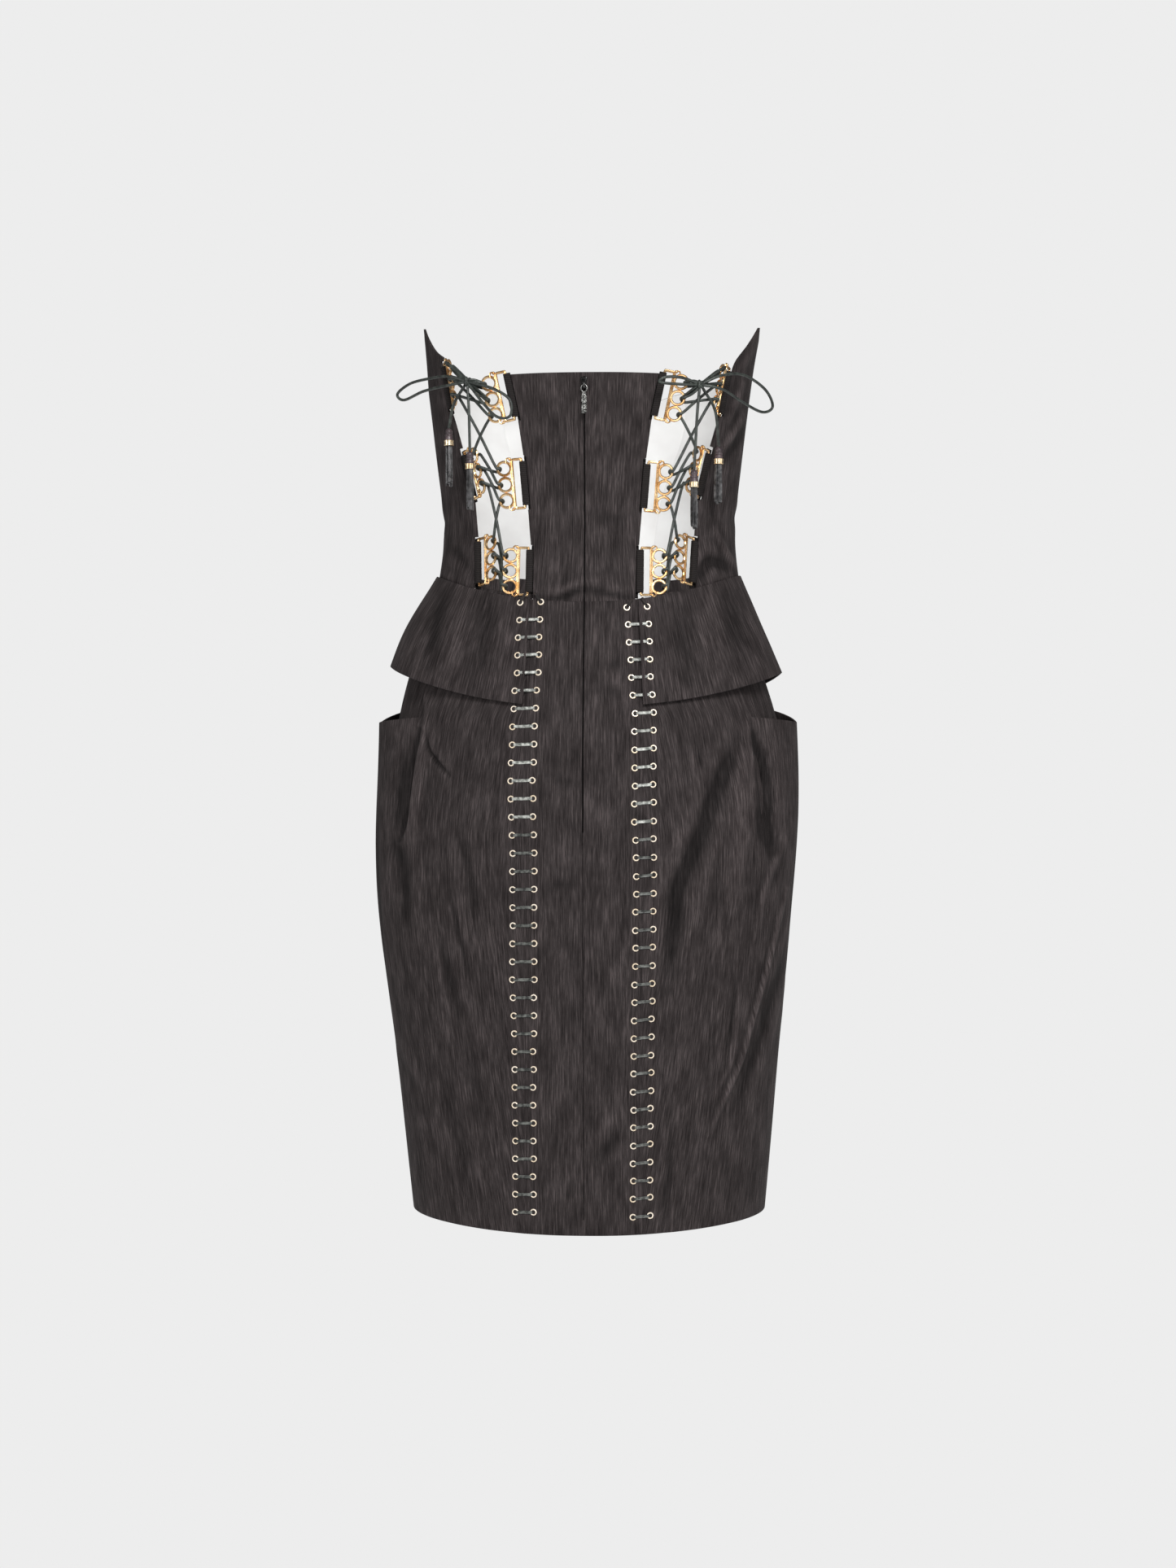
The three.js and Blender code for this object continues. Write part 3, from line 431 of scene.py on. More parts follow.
def bent_wire(name, gauge, moves):
    """Wire bent in a plane: a ring of points is extruded for each run and spun for each bend."""
    bpy.ops.object.select_all(action="DESELECT")
    level = (math.pi / 2, 0, 0)
    bpy.ops.mesh.primitive_circle_add(vertices=8, radius=gauge / 2 * MM, rotation=level)
    piece = bpy.context.object
    piece.name = name
    bpy.ops.object.transform_apply(rotation=True)
    bpy.ops.object.mode_set(mode="EDIT")
    bpy.ops.mesh.select_all(action="SELECT")
    place, heading = Vector((0, 0, 0)), math.pi / 2
    for kind, amount, radius in moves:
        ahead = Vector((math.cos(heading), math.sin(heading), 0))
        if kind == "run":
            bpy.ops.mesh.extrude_region_move(TRANSFORM_OT_translate={"value": ahead * amount * MM})
            place += ahead * amount * MM
            continue
        turn = math.radians(amount)
        side = 1 if turn > 0 else -1
        centre = place + Vector((-ahead.y, ahead.x, 0)) * side * radius * MM
        count = max(3, round(abs(amount) / 22))
        bpy.ops.mesh.spin(steps=count, angle=-turn, center=centre, axis=(0, 0, 1))
        place = centre + Matrix.Rotation(turn, 3, "Z") @ (place - centre)
        heading += turn
    close_ends(0.02)
    return piece


def join(pieces, name, smooth=35):
    """Pieces made one mesh."""
    bpy.ops.object.select_all(action="DESELECT")
    for piece in pieces:
        piece.select_set(True)
    bpy.context.view_layer.objects.active = pieces[0]
    bpy.ops.object.join()
    bpy.ops.object.shade_smooth_by_angle(angle=math.radians(smooth))
    pieces[0].name = name
    return pieces[0]


def ball(place, radius):
    """A soldered ball. The place and the radius are in millimetres."""
    bpy.ops.object.select_all(action="DESELECT")
    centre = Vector(place) * MM
    bpy.ops.mesh.primitive_uv_sphere_add(segments=14, ring_count=9, radius=radius * MM, location=centre)
    bpy.ops.object.transform_apply(location=True)
    return bpy.context.object


straight = PLATE_FOOT - 2 * BEND
plate_frame = bent_wire(
    "plate_frame",
    WIRE,
    [("run", PLATE_HALF - BEND, 0), ("bend", -90, BEND), ("run", straight, 0), ("bend", -90, BEND),
     ("run", 2 * (PLATE_HALF - BEND), 0), ("bend", -90, BEND), ("run", straight, 0),
     ("bend", -90, BEND), ("run", PLATE_HALF - BEND, 0)],
)
plate_parts = [plate_frame]
for k in (-1, 0, 1):
    bpy.ops.mesh.primitive_torus_add(
        location=(RING_MIDDLE * MM, k * RING_PITCH * MM, 0),
        major_radius=RING_RADIUS * MM,
        minor_radius=WIRE / 2 * MM,
        major_segments=32,
        minor_segments=10,
    )
    bpy.ops.object.transform_apply(location=True)
    plate_parts.append(bpy.context.object)
for end in (-1, 1):
    curl = bent_wire("curl", CURL_WIRE, [("run", 2.2, 0), ("bend", 120, 1.8), ("run", 1.2, 0)])
    flip = Matrix.Diagonal((1, end, 1, 1))
    curl.data.transform(flip @ Matrix.Translation(Vector(CURL_START) * MM))
    if end < 0:
        curl.data.flip_normals()
    plate_parts.append(curl)
    plate_parts.append(ball(flip.to_3x3() @ Vector(CURL_BALL), CURL_BALL_RADIUS))
    plate_parts.append(ball((0.4, end * PLATE_HALF, 0), END_BALL_RADIUS))
bar = bent_wire("bar", BAR_WIRE, [("run", 2 * (PLATE_HALF - BAR_INSET), 0)])
bar.data.transform(Matrix.Translation(Vector((PLATE_FOOT + 1.1, BAR_INSET - PLATE_HALF, 0.5)) * MM))
plate_parts.append(bar)
plate = join(plate_parts, "ring_plate")
plate.data.materials.clear()
plate.data.materials.append(gold)


def node_points(node):
    """The corners of a CAD node, each once."""
    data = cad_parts[node].data
    points = np.empty(len(data.vertices) * 3)
    data.vertices.foreach_get("co", points)
    return np.unique(np.round(points.reshape(-1, 3), 6), axis=0)


def stand_of(node):
    """Where a plate stands: X toward its rings, Y up its bar and Z out, from its solid's own axes."""
    points = node_points(node)
    centre = points.mean(0)
    axes = np.linalg.svd(points - centre, full_matrices=False)[2]
    up = Vector(axes[0]) * (1 if axes[0][2] > 0 else -1)
    toward = Vector(axes[1])
    along = (points - centre) @ np.array(toward)
    if along.max() + along.min() > 0:
        toward, along = -toward, -along
    out = toward.cross(up)
    height = (points - centre) @ np.array(up)
    origin = (
        Vector(centre)
        + toward * (along.min() + WIRE / 2 * MM)
        + up * (height.max() + height.min()) / 2
    )
    return origin, toward, up, out


# The oval that the dress's sections follow, from its middle.
HALF_WIDE = 150 * MM
HALF_DEEP = 108 * MM


def outward_from_axis(place):
    """The level direction out of the dress at a place, from its oval section."""
    return Vector((place[0] / HALF_WIDE**2, place[1] / HALF_DEEP**2, 0)).normalized()


EDGES = ("inner", "outer")
ROWS = ("bottom", "middle", "top")
plates = {}
for side, edge, row in product(SIDES, EDGES, ROWS):
    node = f"ring_plate_{edge}_{row}_{side}"
    origin, toward, up, out = stand_of(node)
    if out.dot(outward_from_axis(origin)) < 0:
        out = -out
    plates[edge, row, side] = origin, toward, up, out
    stand = Matrix((toward, up, out)).transposed().to_4x4()
    piece = copy_of(plate, node + "_made", Matrix.Translation(origin) @ stand)
    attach(piece, "dress")
    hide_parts(node)
bpy.data.objects.remove(plate)


# Lacing. One leather lace a side starts at the bottom rings and crosses from edge to edge, coming
# up from behind each ring's gap side and over it, to the knot at the top. More rounds of it, from
# the top rings, are drawn into the knot.
LACE_CLEAR = 0.35
LACE_OFF = WIRE / 2 + LACE / 2 + LACE_CLEAR
AT_45 = 0.72
CROSSING = {"inner": 0.56, "outer": -0.56}
KNOT_REACH = 3
STRAND_BULGE = 2.2
TIGHTENING = [("inner", 8, 2.0), ("inner", 8, -1.4), ("inner", 7, 1.2), ("inner", 7, -2.2),
              ("outer", 8, -1.0), ("outer", 7, 0.4)]


def around_ring(origin, toward, up, out, place):
    """Where the lace goes round a ring's gap side, from behind it to over it."""
    middle = origin + toward * RING_MIDDLE * MM + up * place * RING_PITCH * MM
    near = RING_RADIUS * MM
    off = LACE_OFF * MM
    turns = [
        (near + 1 * MM, -off, -2.0 * MM),
        (near - AT_45 * off, -AT_45 * off, -1.0 * MM),
        (near - off, 0, 0),
        (near - AT_45 * off, AT_45 * off, 1.0 * MM),
        (near + 1 * MM, off, 2.0 * MM),
    ]
    return [middle + toward * a + out * b + up * c for a, b, c in turns]


for side, bow in bows.items():
    rings = {
        edge: [around_ring(*plates[edge, row, side], place) for row, place in product(ROWS, (-1, 0, 1))]
        for edge in EDGES
    }
    strands = []
    for first in (0, 1):
        points = []
        for k in range(len(rings["inner"])):
            edge = EDGES[(k + first) % 2]
            turns = rings[edge][k]
            if points:
                over = outward_from_axis(turns[0]) * LACE * MM * CROSSING[edge]
                points.append((points[-1] + turns[0]) / 2 + over)
            points += turns
        to_knot = placed(bow["knot"], side) - points[-1]
        points.append(points[-1] + to_knot * (1 - KNOT_REACH * MM / to_knot.length))
        strands.append(points)
    foot = (strands[0][0] + strands[1][0]) / 2
    line = smooth_line(strands[0][::-1] + [foot] + strands[1], 4)
    rounds = [tube_mesh("lace", line, LACE / 2 * MM, 9, lace_leather)]
    knot = placed(bow["knot"], side)
    for edge, ring, lift in TIGHTENING:
        start = rings[edge][ring][2]
        bulge = outward_from_axis(knot) * STRAND_BULGE * MM + Vector((0, 0, lift * MM))
        line = smooth_line([start, start.lerp(knot, 0.5) + bulge, knot + bulge * 0.5], 6)
        rounds.append(tube_mesh("round", line, LACE / 2 * MM, 8, lace_leather))
    piece = join(rounds, f"lacing_{side}_made", smooth=60)
    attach(piece, "dress")
    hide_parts(f"lacing_{side}")


# Cloth panels. The dress is cut from a heavy wool crepe with a slubbed, almost black and brown
# grey warp, bonded so that it stands by itself, and lined with ivory satin. Each panel is turned
# in at its edges and sewn to the next one.
WALL_PATTERN = [(-585, 150), (-450, 164), (-310, 175), (-255, 175), (-160, 167), (-95, 147), (-35, 128),
                (0, 125), (60, 131), (150, 143)]
SHARP_FOLD = 3
LET_OUT = 0.3
# Depth in millimetres of a fold whose painted shade is full.
DARKEST_FOLD = 1.1
HEM = -600
UNDER_POCKET = -290
ABOVE_WAIST_SEAM = -30
TOP = 200


def slub_wool(name):
    """Slubbed wool crepe. The warp's thick places are streaks 1 to 2 mm wide and up to 40 mm long,
    and the cloth is a little uneven where it is bonded. Its colour is darker in the troughs of folds,
    as painted shade, and paler on their ridges, as painted highlight."""
    material, tree, shader = new_material(
        name, Sheen_Weight=0.03, Sheen_Roughness=0.4, Sheen_Tint=linear("#b9b2b0"), Specular_IOR_Level=0.12
    )
    grain = add_node(tree, "ShaderNodeUVMap", uv_map="grain")
    streaks = []
    for wide, long, detail in ((0.75, 16, 4.0), (1.5, 44, 3.0), (13, 34, 5.0)):
        scale = (1 / (wide * MM), 1 / (long * MM), 1)
        vector = add_node(tree, "ShaderNodeVectorMath", {0: grain, 1: scale}, operation="MULTIPLY")
        noise = {"Vector": vector, "Scale": 1.0, "Detail": detail, "Roughness": 0.6}
        streaks.append(add_node(tree, "ShaderNodeTexNoise", noise, noise_dimensions="2D"))
    threads, slubs, clouds = streaks
    yarn = add_node(tree, "ShaderNodeMix", {"Factor": 0.65, "A": slubs, "B": threads}, data_type="FLOAT")
    shade = add_node(tree, "ShaderNodeMix", {"Factor": 0.27, "A": yarn, "B": clouds}, data_type="FLOAT")
    tones = [(0.38, "#1c1818"), (0.47, "#2a2525"), (0.53, "#322d2d"), (0.64, "#494242")]
    colour = add_node(tree, "ShaderNodeValToRGB", {"Fac": shade}, stops=tones)
    # Painted shade and highlight: the fold depth attribute darkens the colour in fold troughs and lightens
    # it on fold ridges.
    fold_shade = add_node(tree, "ShaderNodeAttribute", output="Fac", attribute_name="fold_shade")
    fold_shade_range = {"Value": fold_shade, "From Min": -1.0, "From Max": 1.0, "To Min": 1.6, "To Max": 0.42}
    fold_shade_tone = add_node(tree, "ShaderNodeMapRange", fold_shade_range)
    wear_and_fold_shade = add_node(tree, "ShaderNodeVectorMath", {0: colour, "Scale": fold_shade_tone}, operation="SCALE")
    rough = add_node(tree, "ShaderNodeMapRange", {"Value": slubs, "To Min": 0.9, "To Max": 0.7})
    relief = add_node(tree, "ShaderNodeBump", {"Height": clouds, "Distance": 0.8 * MM})
    for streak, depth in ((slubs, 0.15), (threads, 0.12)):
        layer = {"Height": streak, "Distance": depth * MM, "Normal": relief}
        relief = add_node(tree, "ShaderNodeBump", layer)
    fill(shader, {"Base Color": wear_and_fold_shade, "Roughness": rough, "Normal": relief})
    return material


def ivory_satin(name):
    """Ivory lining satin: smooth, with a soft broad shine and faint creases."""
    material, tree, shader = new_material(name, Sheen_Weight=0.2, Specular_IOR_Level=0.35, Roughness=0.55)
    grain = add_node(tree, "ShaderNodeUVMap", uv_map="grain")
    soft = add_node(tree, "ShaderNodeTexNoise", {"Vector": grain, "Scale": 1 / (22 * MM), "Detail": 2.0})
    tones = [(0.3, "#c9c8c7"), (0.7, "#d1d1d0")]
    colour = add_node(tree, "ShaderNodeValToRGB", {"Fac": soft}, stops=tones)
    relief = add_node(tree, "ShaderNodeBump", {"Height": soft, "Distance": 0.25 * MM})
    fill(shader, {"Base Color": colour, "Normal": relief})
    return material


wool = slub_wool("slub_wool_crepe")
satin = ivory_satin("ivory_lining_satin")


def outward_all(points):
    """The outward direction from the dress's axis at each point."""
    away = np.stack([points[:, 0] / HALF_WIDE**2, points[:, 1] / HALF_DEEP**2, np.zeros(len(points))], 1)
    return away / np.linalg.norm(away, axis=1)[:, None]


def points_of(mesh):
    """A mesh's corners as rows."""
    points = np.empty(len(mesh.vertices) * 3)
    mesh.vertices.foreach_get("co", points)
    return points.reshape(-1, 3)


def panel_copy(node, name):
    """A copy of a panel's or a loop's solid, without its own shading."""
    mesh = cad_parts[node].data.copy()
    mesh.materials.clear()
    mesh.attributes.remove(mesh.attributes["custom_normal"])
    return in_scene(name, mesh)


def round_edges(piece, width, segments, angle):
    """Rounds a picked piece's edges that are sharper than an angle."""
    edge = piece.modifiers.new("rounded", "BEVEL")
    edge.width = width * MM
    edge.segments = segments
    edge.limit_method = "ANGLE"
    edge.angle_limit = math.radians(angle)
    bpy.ops.object.modifier_apply(modifier=edge.name)


def fine_panel(node, name, rounds):
    """A fine shell on a panel's solid: its edges let out until they meet the next panel's, and its
    faces rounded."""
    piece = panel_copy(node, name)
    mesh = piece.data
    shaping = bmesh.new()
    shaping.from_mesh(mesh)
    bmesh.ops.remove_doubles(shaping, verts=shaping.verts, dist=0.01 * MM)
    flat, square = math.radians(30), math.radians(70)
    bmesh.ops.join_triangles(
        shaping, faces=shaping.faces, angle_face_threshold=flat, angle_shape_threshold=square
    )
    let_out = {}
    for face in shaping.faces:
        if abs(face.normal.dot(outward_from_axis(face.calc_center_median()))) > 0.6:
            continue
        for vertex in face.verts:
            let_out[vertex] = let_out.get(vertex, Vector()) + face.normal
    for vertex, direction in let_out.items():
        vertex.co += direction.normalized() * LET_OUT * MM
    crease = shaping.edges.layers.float.new("crease_edge")
    for edge in shaping.edges:
        if len(edge.link_faces) == 2 and edge.calc_face_angle() > math.radians(50):
            edge[crease] = 1.0
    shaping.to_mesh(mesh)
    shaping.free()
    pick(piece)
    smooth = piece.modifiers.new("smooth", "SUBSURF")
    smooth.levels = smooth.render_levels = rounds
    bpy.ops.object.modifier_apply(modifier="smooth")
    return piece


def beside_fold(points, face, places):
    """How far each point is from a fold's line, how far along it, and how squarely it faces."""
    out = outward_all(points)
    flat = points[:, [0, 2]] if face in ("back", "front") else points[:, [1, 2]]
    facing = {"back": out[:, 1], "front": -out[:, 1], "left": out[:, 0], "right": -out[:, 0]}[face]
    line = smooth_line([Vector((*place, 0)) * MM for place in places], 5)
    away = np.full(len(points), 1.0)
    along = np.zeros(len(points))
    for k, (a, b) in enumerate(zip(line, line[1:])):
        start, run = np.array(a)[:2], np.array(b - a)[:2]
        t = np.clip((flat - start) @ run / (run @ run), 0, 1)
        distance = np.linalg.norm(flat - start - t[:, None] * run, axis=1)
        nearer = distance < away
        away[nearer] = distance[nearer]
        along[nearer] = (k + t[nearer]) / (len(line) - 1)
    return away, along, np.clip(facing * 4, 0, 1)


def refine_folds(piece, folds):
    """Finer faces along the sharp folds."""
    sharp = [fold for fold in folds if fold[1] < SHARP_FOLD]
    for _ in range(2):
        points = points_of(piece.data)
        near = np.zeros(len(points), bool)
        for face, wide, _, places in sharp:
            away, _, facing = beside_fold(points, face, places)
            near |= (away < 2.2 * wide * MM) & (facing > 0)
        if not near.any():
            return
        shaping = bmesh.new()
        shaping.from_mesh(piece.data)
        shaping.verts.ensure_lookup_table()
        edges = [edge for edge in shaping.edges if all(near[vertex.index] for vertex in edge.verts)]
        bmesh.ops.subdivide_edges(shaping, edges=edges, cuts=1, use_grid_fill=True)
        shaping.to_mesh(piece.data)
        shaping.free()


def press_folds(piece, folds):
    """Soft troughs and ridges. A fold is seen on one face of the dress, has a width and a depth,
    which is negative for a ridge, and runs through places of that face, in millimetres."""
    refine_folds(piece, folds)
    points = points_of(piece.data)
    out = outward_all(points)
    fold_shade = np.zeros(len(points))
    for face, wide, deep, places in folds:
        away, along, facing = beside_fold(points, face, places)
        fade = np.sin(np.pi * np.clip(along, 0.03, 0.97)) ** 0.5 * facing
        dip = np.exp(-((away / (wide * MM)) ** 2)) - 0.3 * np.exp(-((away / (wide * MM) - 1.9) ** 2))
        points -= out * (fade * dip * deep * MM)[:, None]
        # The fold depth is also kept as an attribute, which the cloth's material uses to paint shade in
        # troughs and a highlight on ridges.
        fold_shade += fade * dip * deep / DARKEST_FOLD
    piece.data.vertices.foreach_set("co", points.astype(np.float32).ravel())
    fold_shade_layer = piece.data.attributes.new("fold_shade", "FLOAT", "POINT")
    fold_shade_layer.data.foreach_set("value", fold_shade.astype(np.float32))
    piece.data.update()


def lay_grain(piece, middle, fanned):
    """The cloth's grain as a UV map in metres: across the panel from its middle, and up."""
    mesh = piece.data
    points = points_of(mesh)
    table = np.linspace(-math.pi, math.pi, 721)
    arc = np.cumsum(np.hypot(HALF_WIDE * np.sin(table), HALF_DEEP * np.cos(table))) * (table[1] - table[0])
    angle = np.arctan2(points[:, 1] / HALF_DEEP, points[:, 0] / HALF_WIDE) - middle
    angle = (angle + math.pi) % (2 * math.pi) - math.pi
    around = np.interp((angle + middle + math.pi) % (2 * math.pi) - math.pi, table, arc)
    start = np.interp((middle + math.pi) % (2 * math.pi) - math.pi, table, arc)
    length = arc[-1]
    across = (around - start + length / 2) % length - length / 2
    heights, widths = zip(*WALL_PATTERN)
    if not fanned:
        across = across * np.interp(points[:, 2] / MM, heights, widths) * MM / HALF_WIDE
    grain = np.stack([across + 1, points[:, 2] + 1], 1)
    corners = np.empty(len(mesh.loops), np.int32)
    mesh.loops.foreach_get("vertex_index", corners)
    layer = mesh.uv_layers.new(name="grain")
    layer.data.foreach_set("uv", grain[corners].astype(np.float32).ravel())


def finish_panel(piece, node, middle, fanned, lined):
    """Grain, lining, turned edges and smooth shading. The lining lies between two heights."""
    mesh = piece.data
    lay_grain(piece, middle, fanned)
    mesh.materials.append(wool)
    mesh.materials.append(satin)
    for face in mesh.polygons:
        inside = face.normal.dot(outward_from_axis(face.center)) < -0.8
        if inside and lined[0] * MM < face.center.z < lined[1] * MM:
            face.material_index = 1
    pick(piece)
    round_edges(piece, 0.35, 2, 50)
    bpy.ops.object.shade_smooth_by_angle(angle=math.radians(40))
    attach(piece, "dress")
    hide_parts(node)


BACK, LEFT, FRONT = math.pi / 2, 0.0, -math.pi / 2
panels = []


def make_panel(node, rounds, middle, folds, fanned=False, lined=(HEM, TOP)):
    """A finished panel. The middle is its angle round the dress."""
    piece = fine_panel(node, node + "_cloth", rounds)
    press_folds(piece, folds)
    finish_panel(piece, node, middle, fanned, lined)
    panels.append(piece)


# Skirt: a plain front, a narrow back in two halves with the zip between them, and wide side panels
# that stand off at the hips as pockets, with a tuck behind each pocket's mouth.
skirt_folds = [
    ("back", 2.0, 3.0, [(138, -168), (144, -198), (147, -223), (150, -244), (155, -260)]),
    ("back", 6.0, 1.4, [(147, -180), (152, -215), (156, -250)]),
    ("back", 5.0, -1.6, [(132, -184), (139, -222), (142, -258)]),
    ("back", 2.2, 0.9, [(136.5, -138), (136, -156), (139, -180)]),
    ("back", 6.0, 1.3, [(167, -257), (154, -271), (150, -300), (152, -332)]),
    ("back", 1.8, 1.6, [(133, -170), (128, -186), (119, -197), (108, -208)]),
    ("back", 4.0, 1.0, [(120, -330), (110, -372), (104, -398)]),
    ("back", 2.0, 1.0, [(110, -300), (101, -340), (93, -372)]),
    ("back", 5.0, 0.9, [(104, -250), (92, -284), (86, -320)]),
    ("back", 6.0, 0.6, [(118, -448), (95, -536)]),
    ("back", 5.0, 0.6, [(97, -415), (88, -475)]),
    ("back", 4.0, -0.7, [(159, -426), (146, -450), (133, -468)]),
    ("back", 4.0, 0.7, [(34, -205), (14, -212), (1, -214)]),
    ("back", 4.0, 0.7, [(34, -304), (20, -294), (3, -295)]),
    ("back", 6.0, 2.8, [(-139, -174), (-145, -199), (-149, -226), (-148, -247), (-154, -270)]),
    ("back", 2.0, 2.4, [(-137, -164), (-141, -190), (-145, -214), (-147, -240)]),
    ("back", 7.0, -1.6, [(-134, -172), (-131, -204), (-127, -257), (-121, -312)]),
    ("back", 7.0, 1.9, [(-129, -178), (-111, -209), (-97, -250), (-77, -296), (-73, -331), (-69, -380)]),
    ("back", 1.8, 0.9, [(-93, -184), (-95, -200)]),
    ("back", 2.6, -0.9, [(-168, -261), (-156, -280), (-148, -303), (-140, -340)]),
    ("back", 1.8, -2.4, [(-168, -300), (-160, -330), (-150, -368), (-139, -403), (-128, -441), (-113, -474),
                         (-102, -500)]),
    ("back", 5.0, 1.4, [(-170, -352), (-158, -378), (-149, -405), (-138, -440), (-122, -482)]),
    ("back", 1.8, -1.1, [(-127, -377), (-125, -406), (-120, -440), (-107, -466)]),
    ("back", 1.6, 0.9, [(-124, -372), (-121, -402), (-115, -436)]),
    ("back", 3.0, 1.1, [(-69, -478), (-71, -511), (-67, -545), (-65, -578)]),
    ("back", 5.0, 0.9, [(-29, -494), (-10, -520)]),
    ("back", 5.0, -0.7, [(-27, -482), (-8, -501)]),
    ("back", 4.5, 0.7, [(-14, -117), (-34, -114)]),
    ("back", 5.0, 0.7, [(-16, -137), (-31, -139)]),
    ("front", 6.0, 0.8, [(-122, -158), (-96, -178), (-62, -186)]),
    ("front", 6.0, 0.7, [(120, -170), (92, -190), (60, -194)]),
    ("front", 5.0, 0.9, [(-134, -300), (-120, -360), (-104, -430)]),
    ("front", 5.0, -0.8, [(130, -276), (121, -340), (106, -414)]),
    ("front", 3.0, -0.9, [(-142, -340), (-128, -400), (-116, -470)]),
    ("left", 8.0, 1.2, [(-40, -225), (-30, -300), (-18, -385)]),
    ("left", 7.0, 1.0, [(36, -240), (30, -330), (18, -430)]),
    ("left", 5.0, -0.8, [(8, -260), (4, -350), (-6, -440)]),
    ("right", 8.0, 1.2, [(-38, -220), (-26, -310), (-14, -405)]),
    ("right", 7.0, 1.0, [(20, -250), (16, -320), (4, -395)]),
]
make_panel("skirt_front", 3, FRONT, skirt_folds)
for side, sign in SIDES.items():
    make_panel(f"skirt_back_{side}", 3, BACK, skirt_folds)
    middle = LEFT if sign > 0 else math.pi
    make_panel(f"skirt_side_{side}", 3, middle, skirt_folds,
               lined=(HEM, UNDER_POCKET))
    make_panel(f"pocket_yoke_{side}", 2, middle, [])


# Peplums: a shaped flounce a side that is sewn into the waist seam and springs out over the hip.
# It is cut on the curve, so its grain fans out.
peplum_folds = [
    ("back", 9.0, 1.0, [(119, -46), (129, -112)]),
    ("back", 10.0, 0.8, [(80, -58), (89, -130)]),
    ("back", 9.0, 1.0, [(-117, -46), (-129, -110)]),
    ("back", 10.0, 0.8, [(-76, -56), (-85, -126)]),
    ("front", 9.0, 0.9, [(100, -48), (109, -122)]),
    ("front", 9.0, 0.8, [(-104, -48), (-111, -120)]),
    ("left", 9.0, 1.1, [(5, -48), (8, -102)]),
    ("right", 9.0, 1.1, [(-5, -48), (-9, -102)]),
]
for side, sign in SIDES.items():
    middle = LEFT if sign > 0 else math.pi
    make_panel(f"peplum_{side}", 3, middle, peplum_folds, fanned=True,
               lined=(TOP, TOP))


# Bodice: boned panels, with a shaped cup a side that rises to a point under the arm, and a short
# back between the two lacings.
bodice_folds = [
    ("back", 3.2, -1.0, [(29, -57), (15, -53), (1, -46)]),
    ("back", 3.0, 1.3, [(36, -62), (19, -60), (7, -55), (1, -54)]),
    ("back", 3.2, -0.9, [(-2, -48), (-21, -45)]),
    ("back", 3.0, 1.1, [(-2, -54), (-21, -58), (-40, -61)]),
    ("back", 2.6, -1.9, [(-107, 0), (-116, -16), (-124, -28)]),
    ("back", 5.0, 2.0, [(-92, -46), (-103, -28), (-122, -33)]),
    ("back", 2.4, -1.6, [(-133, 101), (-124, 82), (-113, 65)]),
    ("back", 3.5, 1.2, [(-134, 92), (-126, 75), (-117, 58)]),
    ("back", 2.4, -1.5, [(-131, 124), (-125, 107), (-118, 90)]),
    ("back", 2.5, -1.2, [(-138, 154), (-129, 132)]),
    ("back", 5.0, 1.0, [(115, -11), (105, -24), (95, -36)]),
    ("back", 4.0, 0.8, [(118, -30), (108, -38)]),
    ("back", 6.0, 0.5, [(30, 30), (16, 24)]),
    ("back", 6.0, 0.6, [(-8, 8), (-24, 4), (-34, 10)]),
    ("front", 6.0, 0.8, [(58, -2), (76, 6), (96, 7)]),
    ("front", 6.0, 0.8, [(-60, -4), (-78, 5), (-98, 5)]),
    ("left", 6.0, 0.9, [(-42, 20), (-10, 16), (20, 4)]),
    ("right", 6.0, 0.9, [(-40, 18), (-6, 17), (24, 6)]),
]
make_panel("bodice_front", 3, FRONT, bodice_folds)
for side, sign in SIDES.items():
    for panel, angle, flat, area in (
        ("cup", -35, (0.135, 0.22), 0.0245),
        ("side", 25, (0.085, 0.24), 0.0145),
        ("back", 75, (0.065, 0.2), 0.0105),
    ):
        middle = math.radians(angle) if sign > 0 else math.pi - math.radians(angle)
        make_panel(f"bodice_{panel}_{side}", 3, middle, bodice_folds,
                   lined=(ABOVE_WAIST_SEAM, TOP))


# What is fixed on the cloth stands on the finished panels: a ray finds the place and its slope.
def surface():
    """All panels as one tree of faces."""
    corners, faces = [], []
    for piece in panels:
        start = len(corners)
        corners += [Vector(place) for place in points_of(piece.data)]
        faces += [[start + i for i in face.vertices] for face in piece.data.polygons]
    return BVHTree.FromPolygons(corners, faces)


cloth = surface()
BEHIND = 400


def on_back(across, height):
    """The place on the back of the dress at a width and a height, and the way out of the cloth."""
    start = Vector((across, BEHIND, height)) * MM
    place, normal, _, _ = cloth.ray_cast(start, Vector((0, -1, 0)))
    return place, normal


# Eyelets and their lace bars. Both back seams of the skirt have a row of small brass eyelets on
# either side, pressed over the cloth, and a short lace bar goes through each pair across the seam.
# From the first pair the lace goes up under the waist seam.
EYELETS = 35
EYELET_RADIUS = 2.8
HOLE_RADIUS = 1.75
BAR_WIDE = 2.5
BAR_THICK = 1.0
# Rows from the top whose bars take the paler lace, as a painted highlight.
HIGHLIT_ROWS = 13
UNDER_WAIST = 8
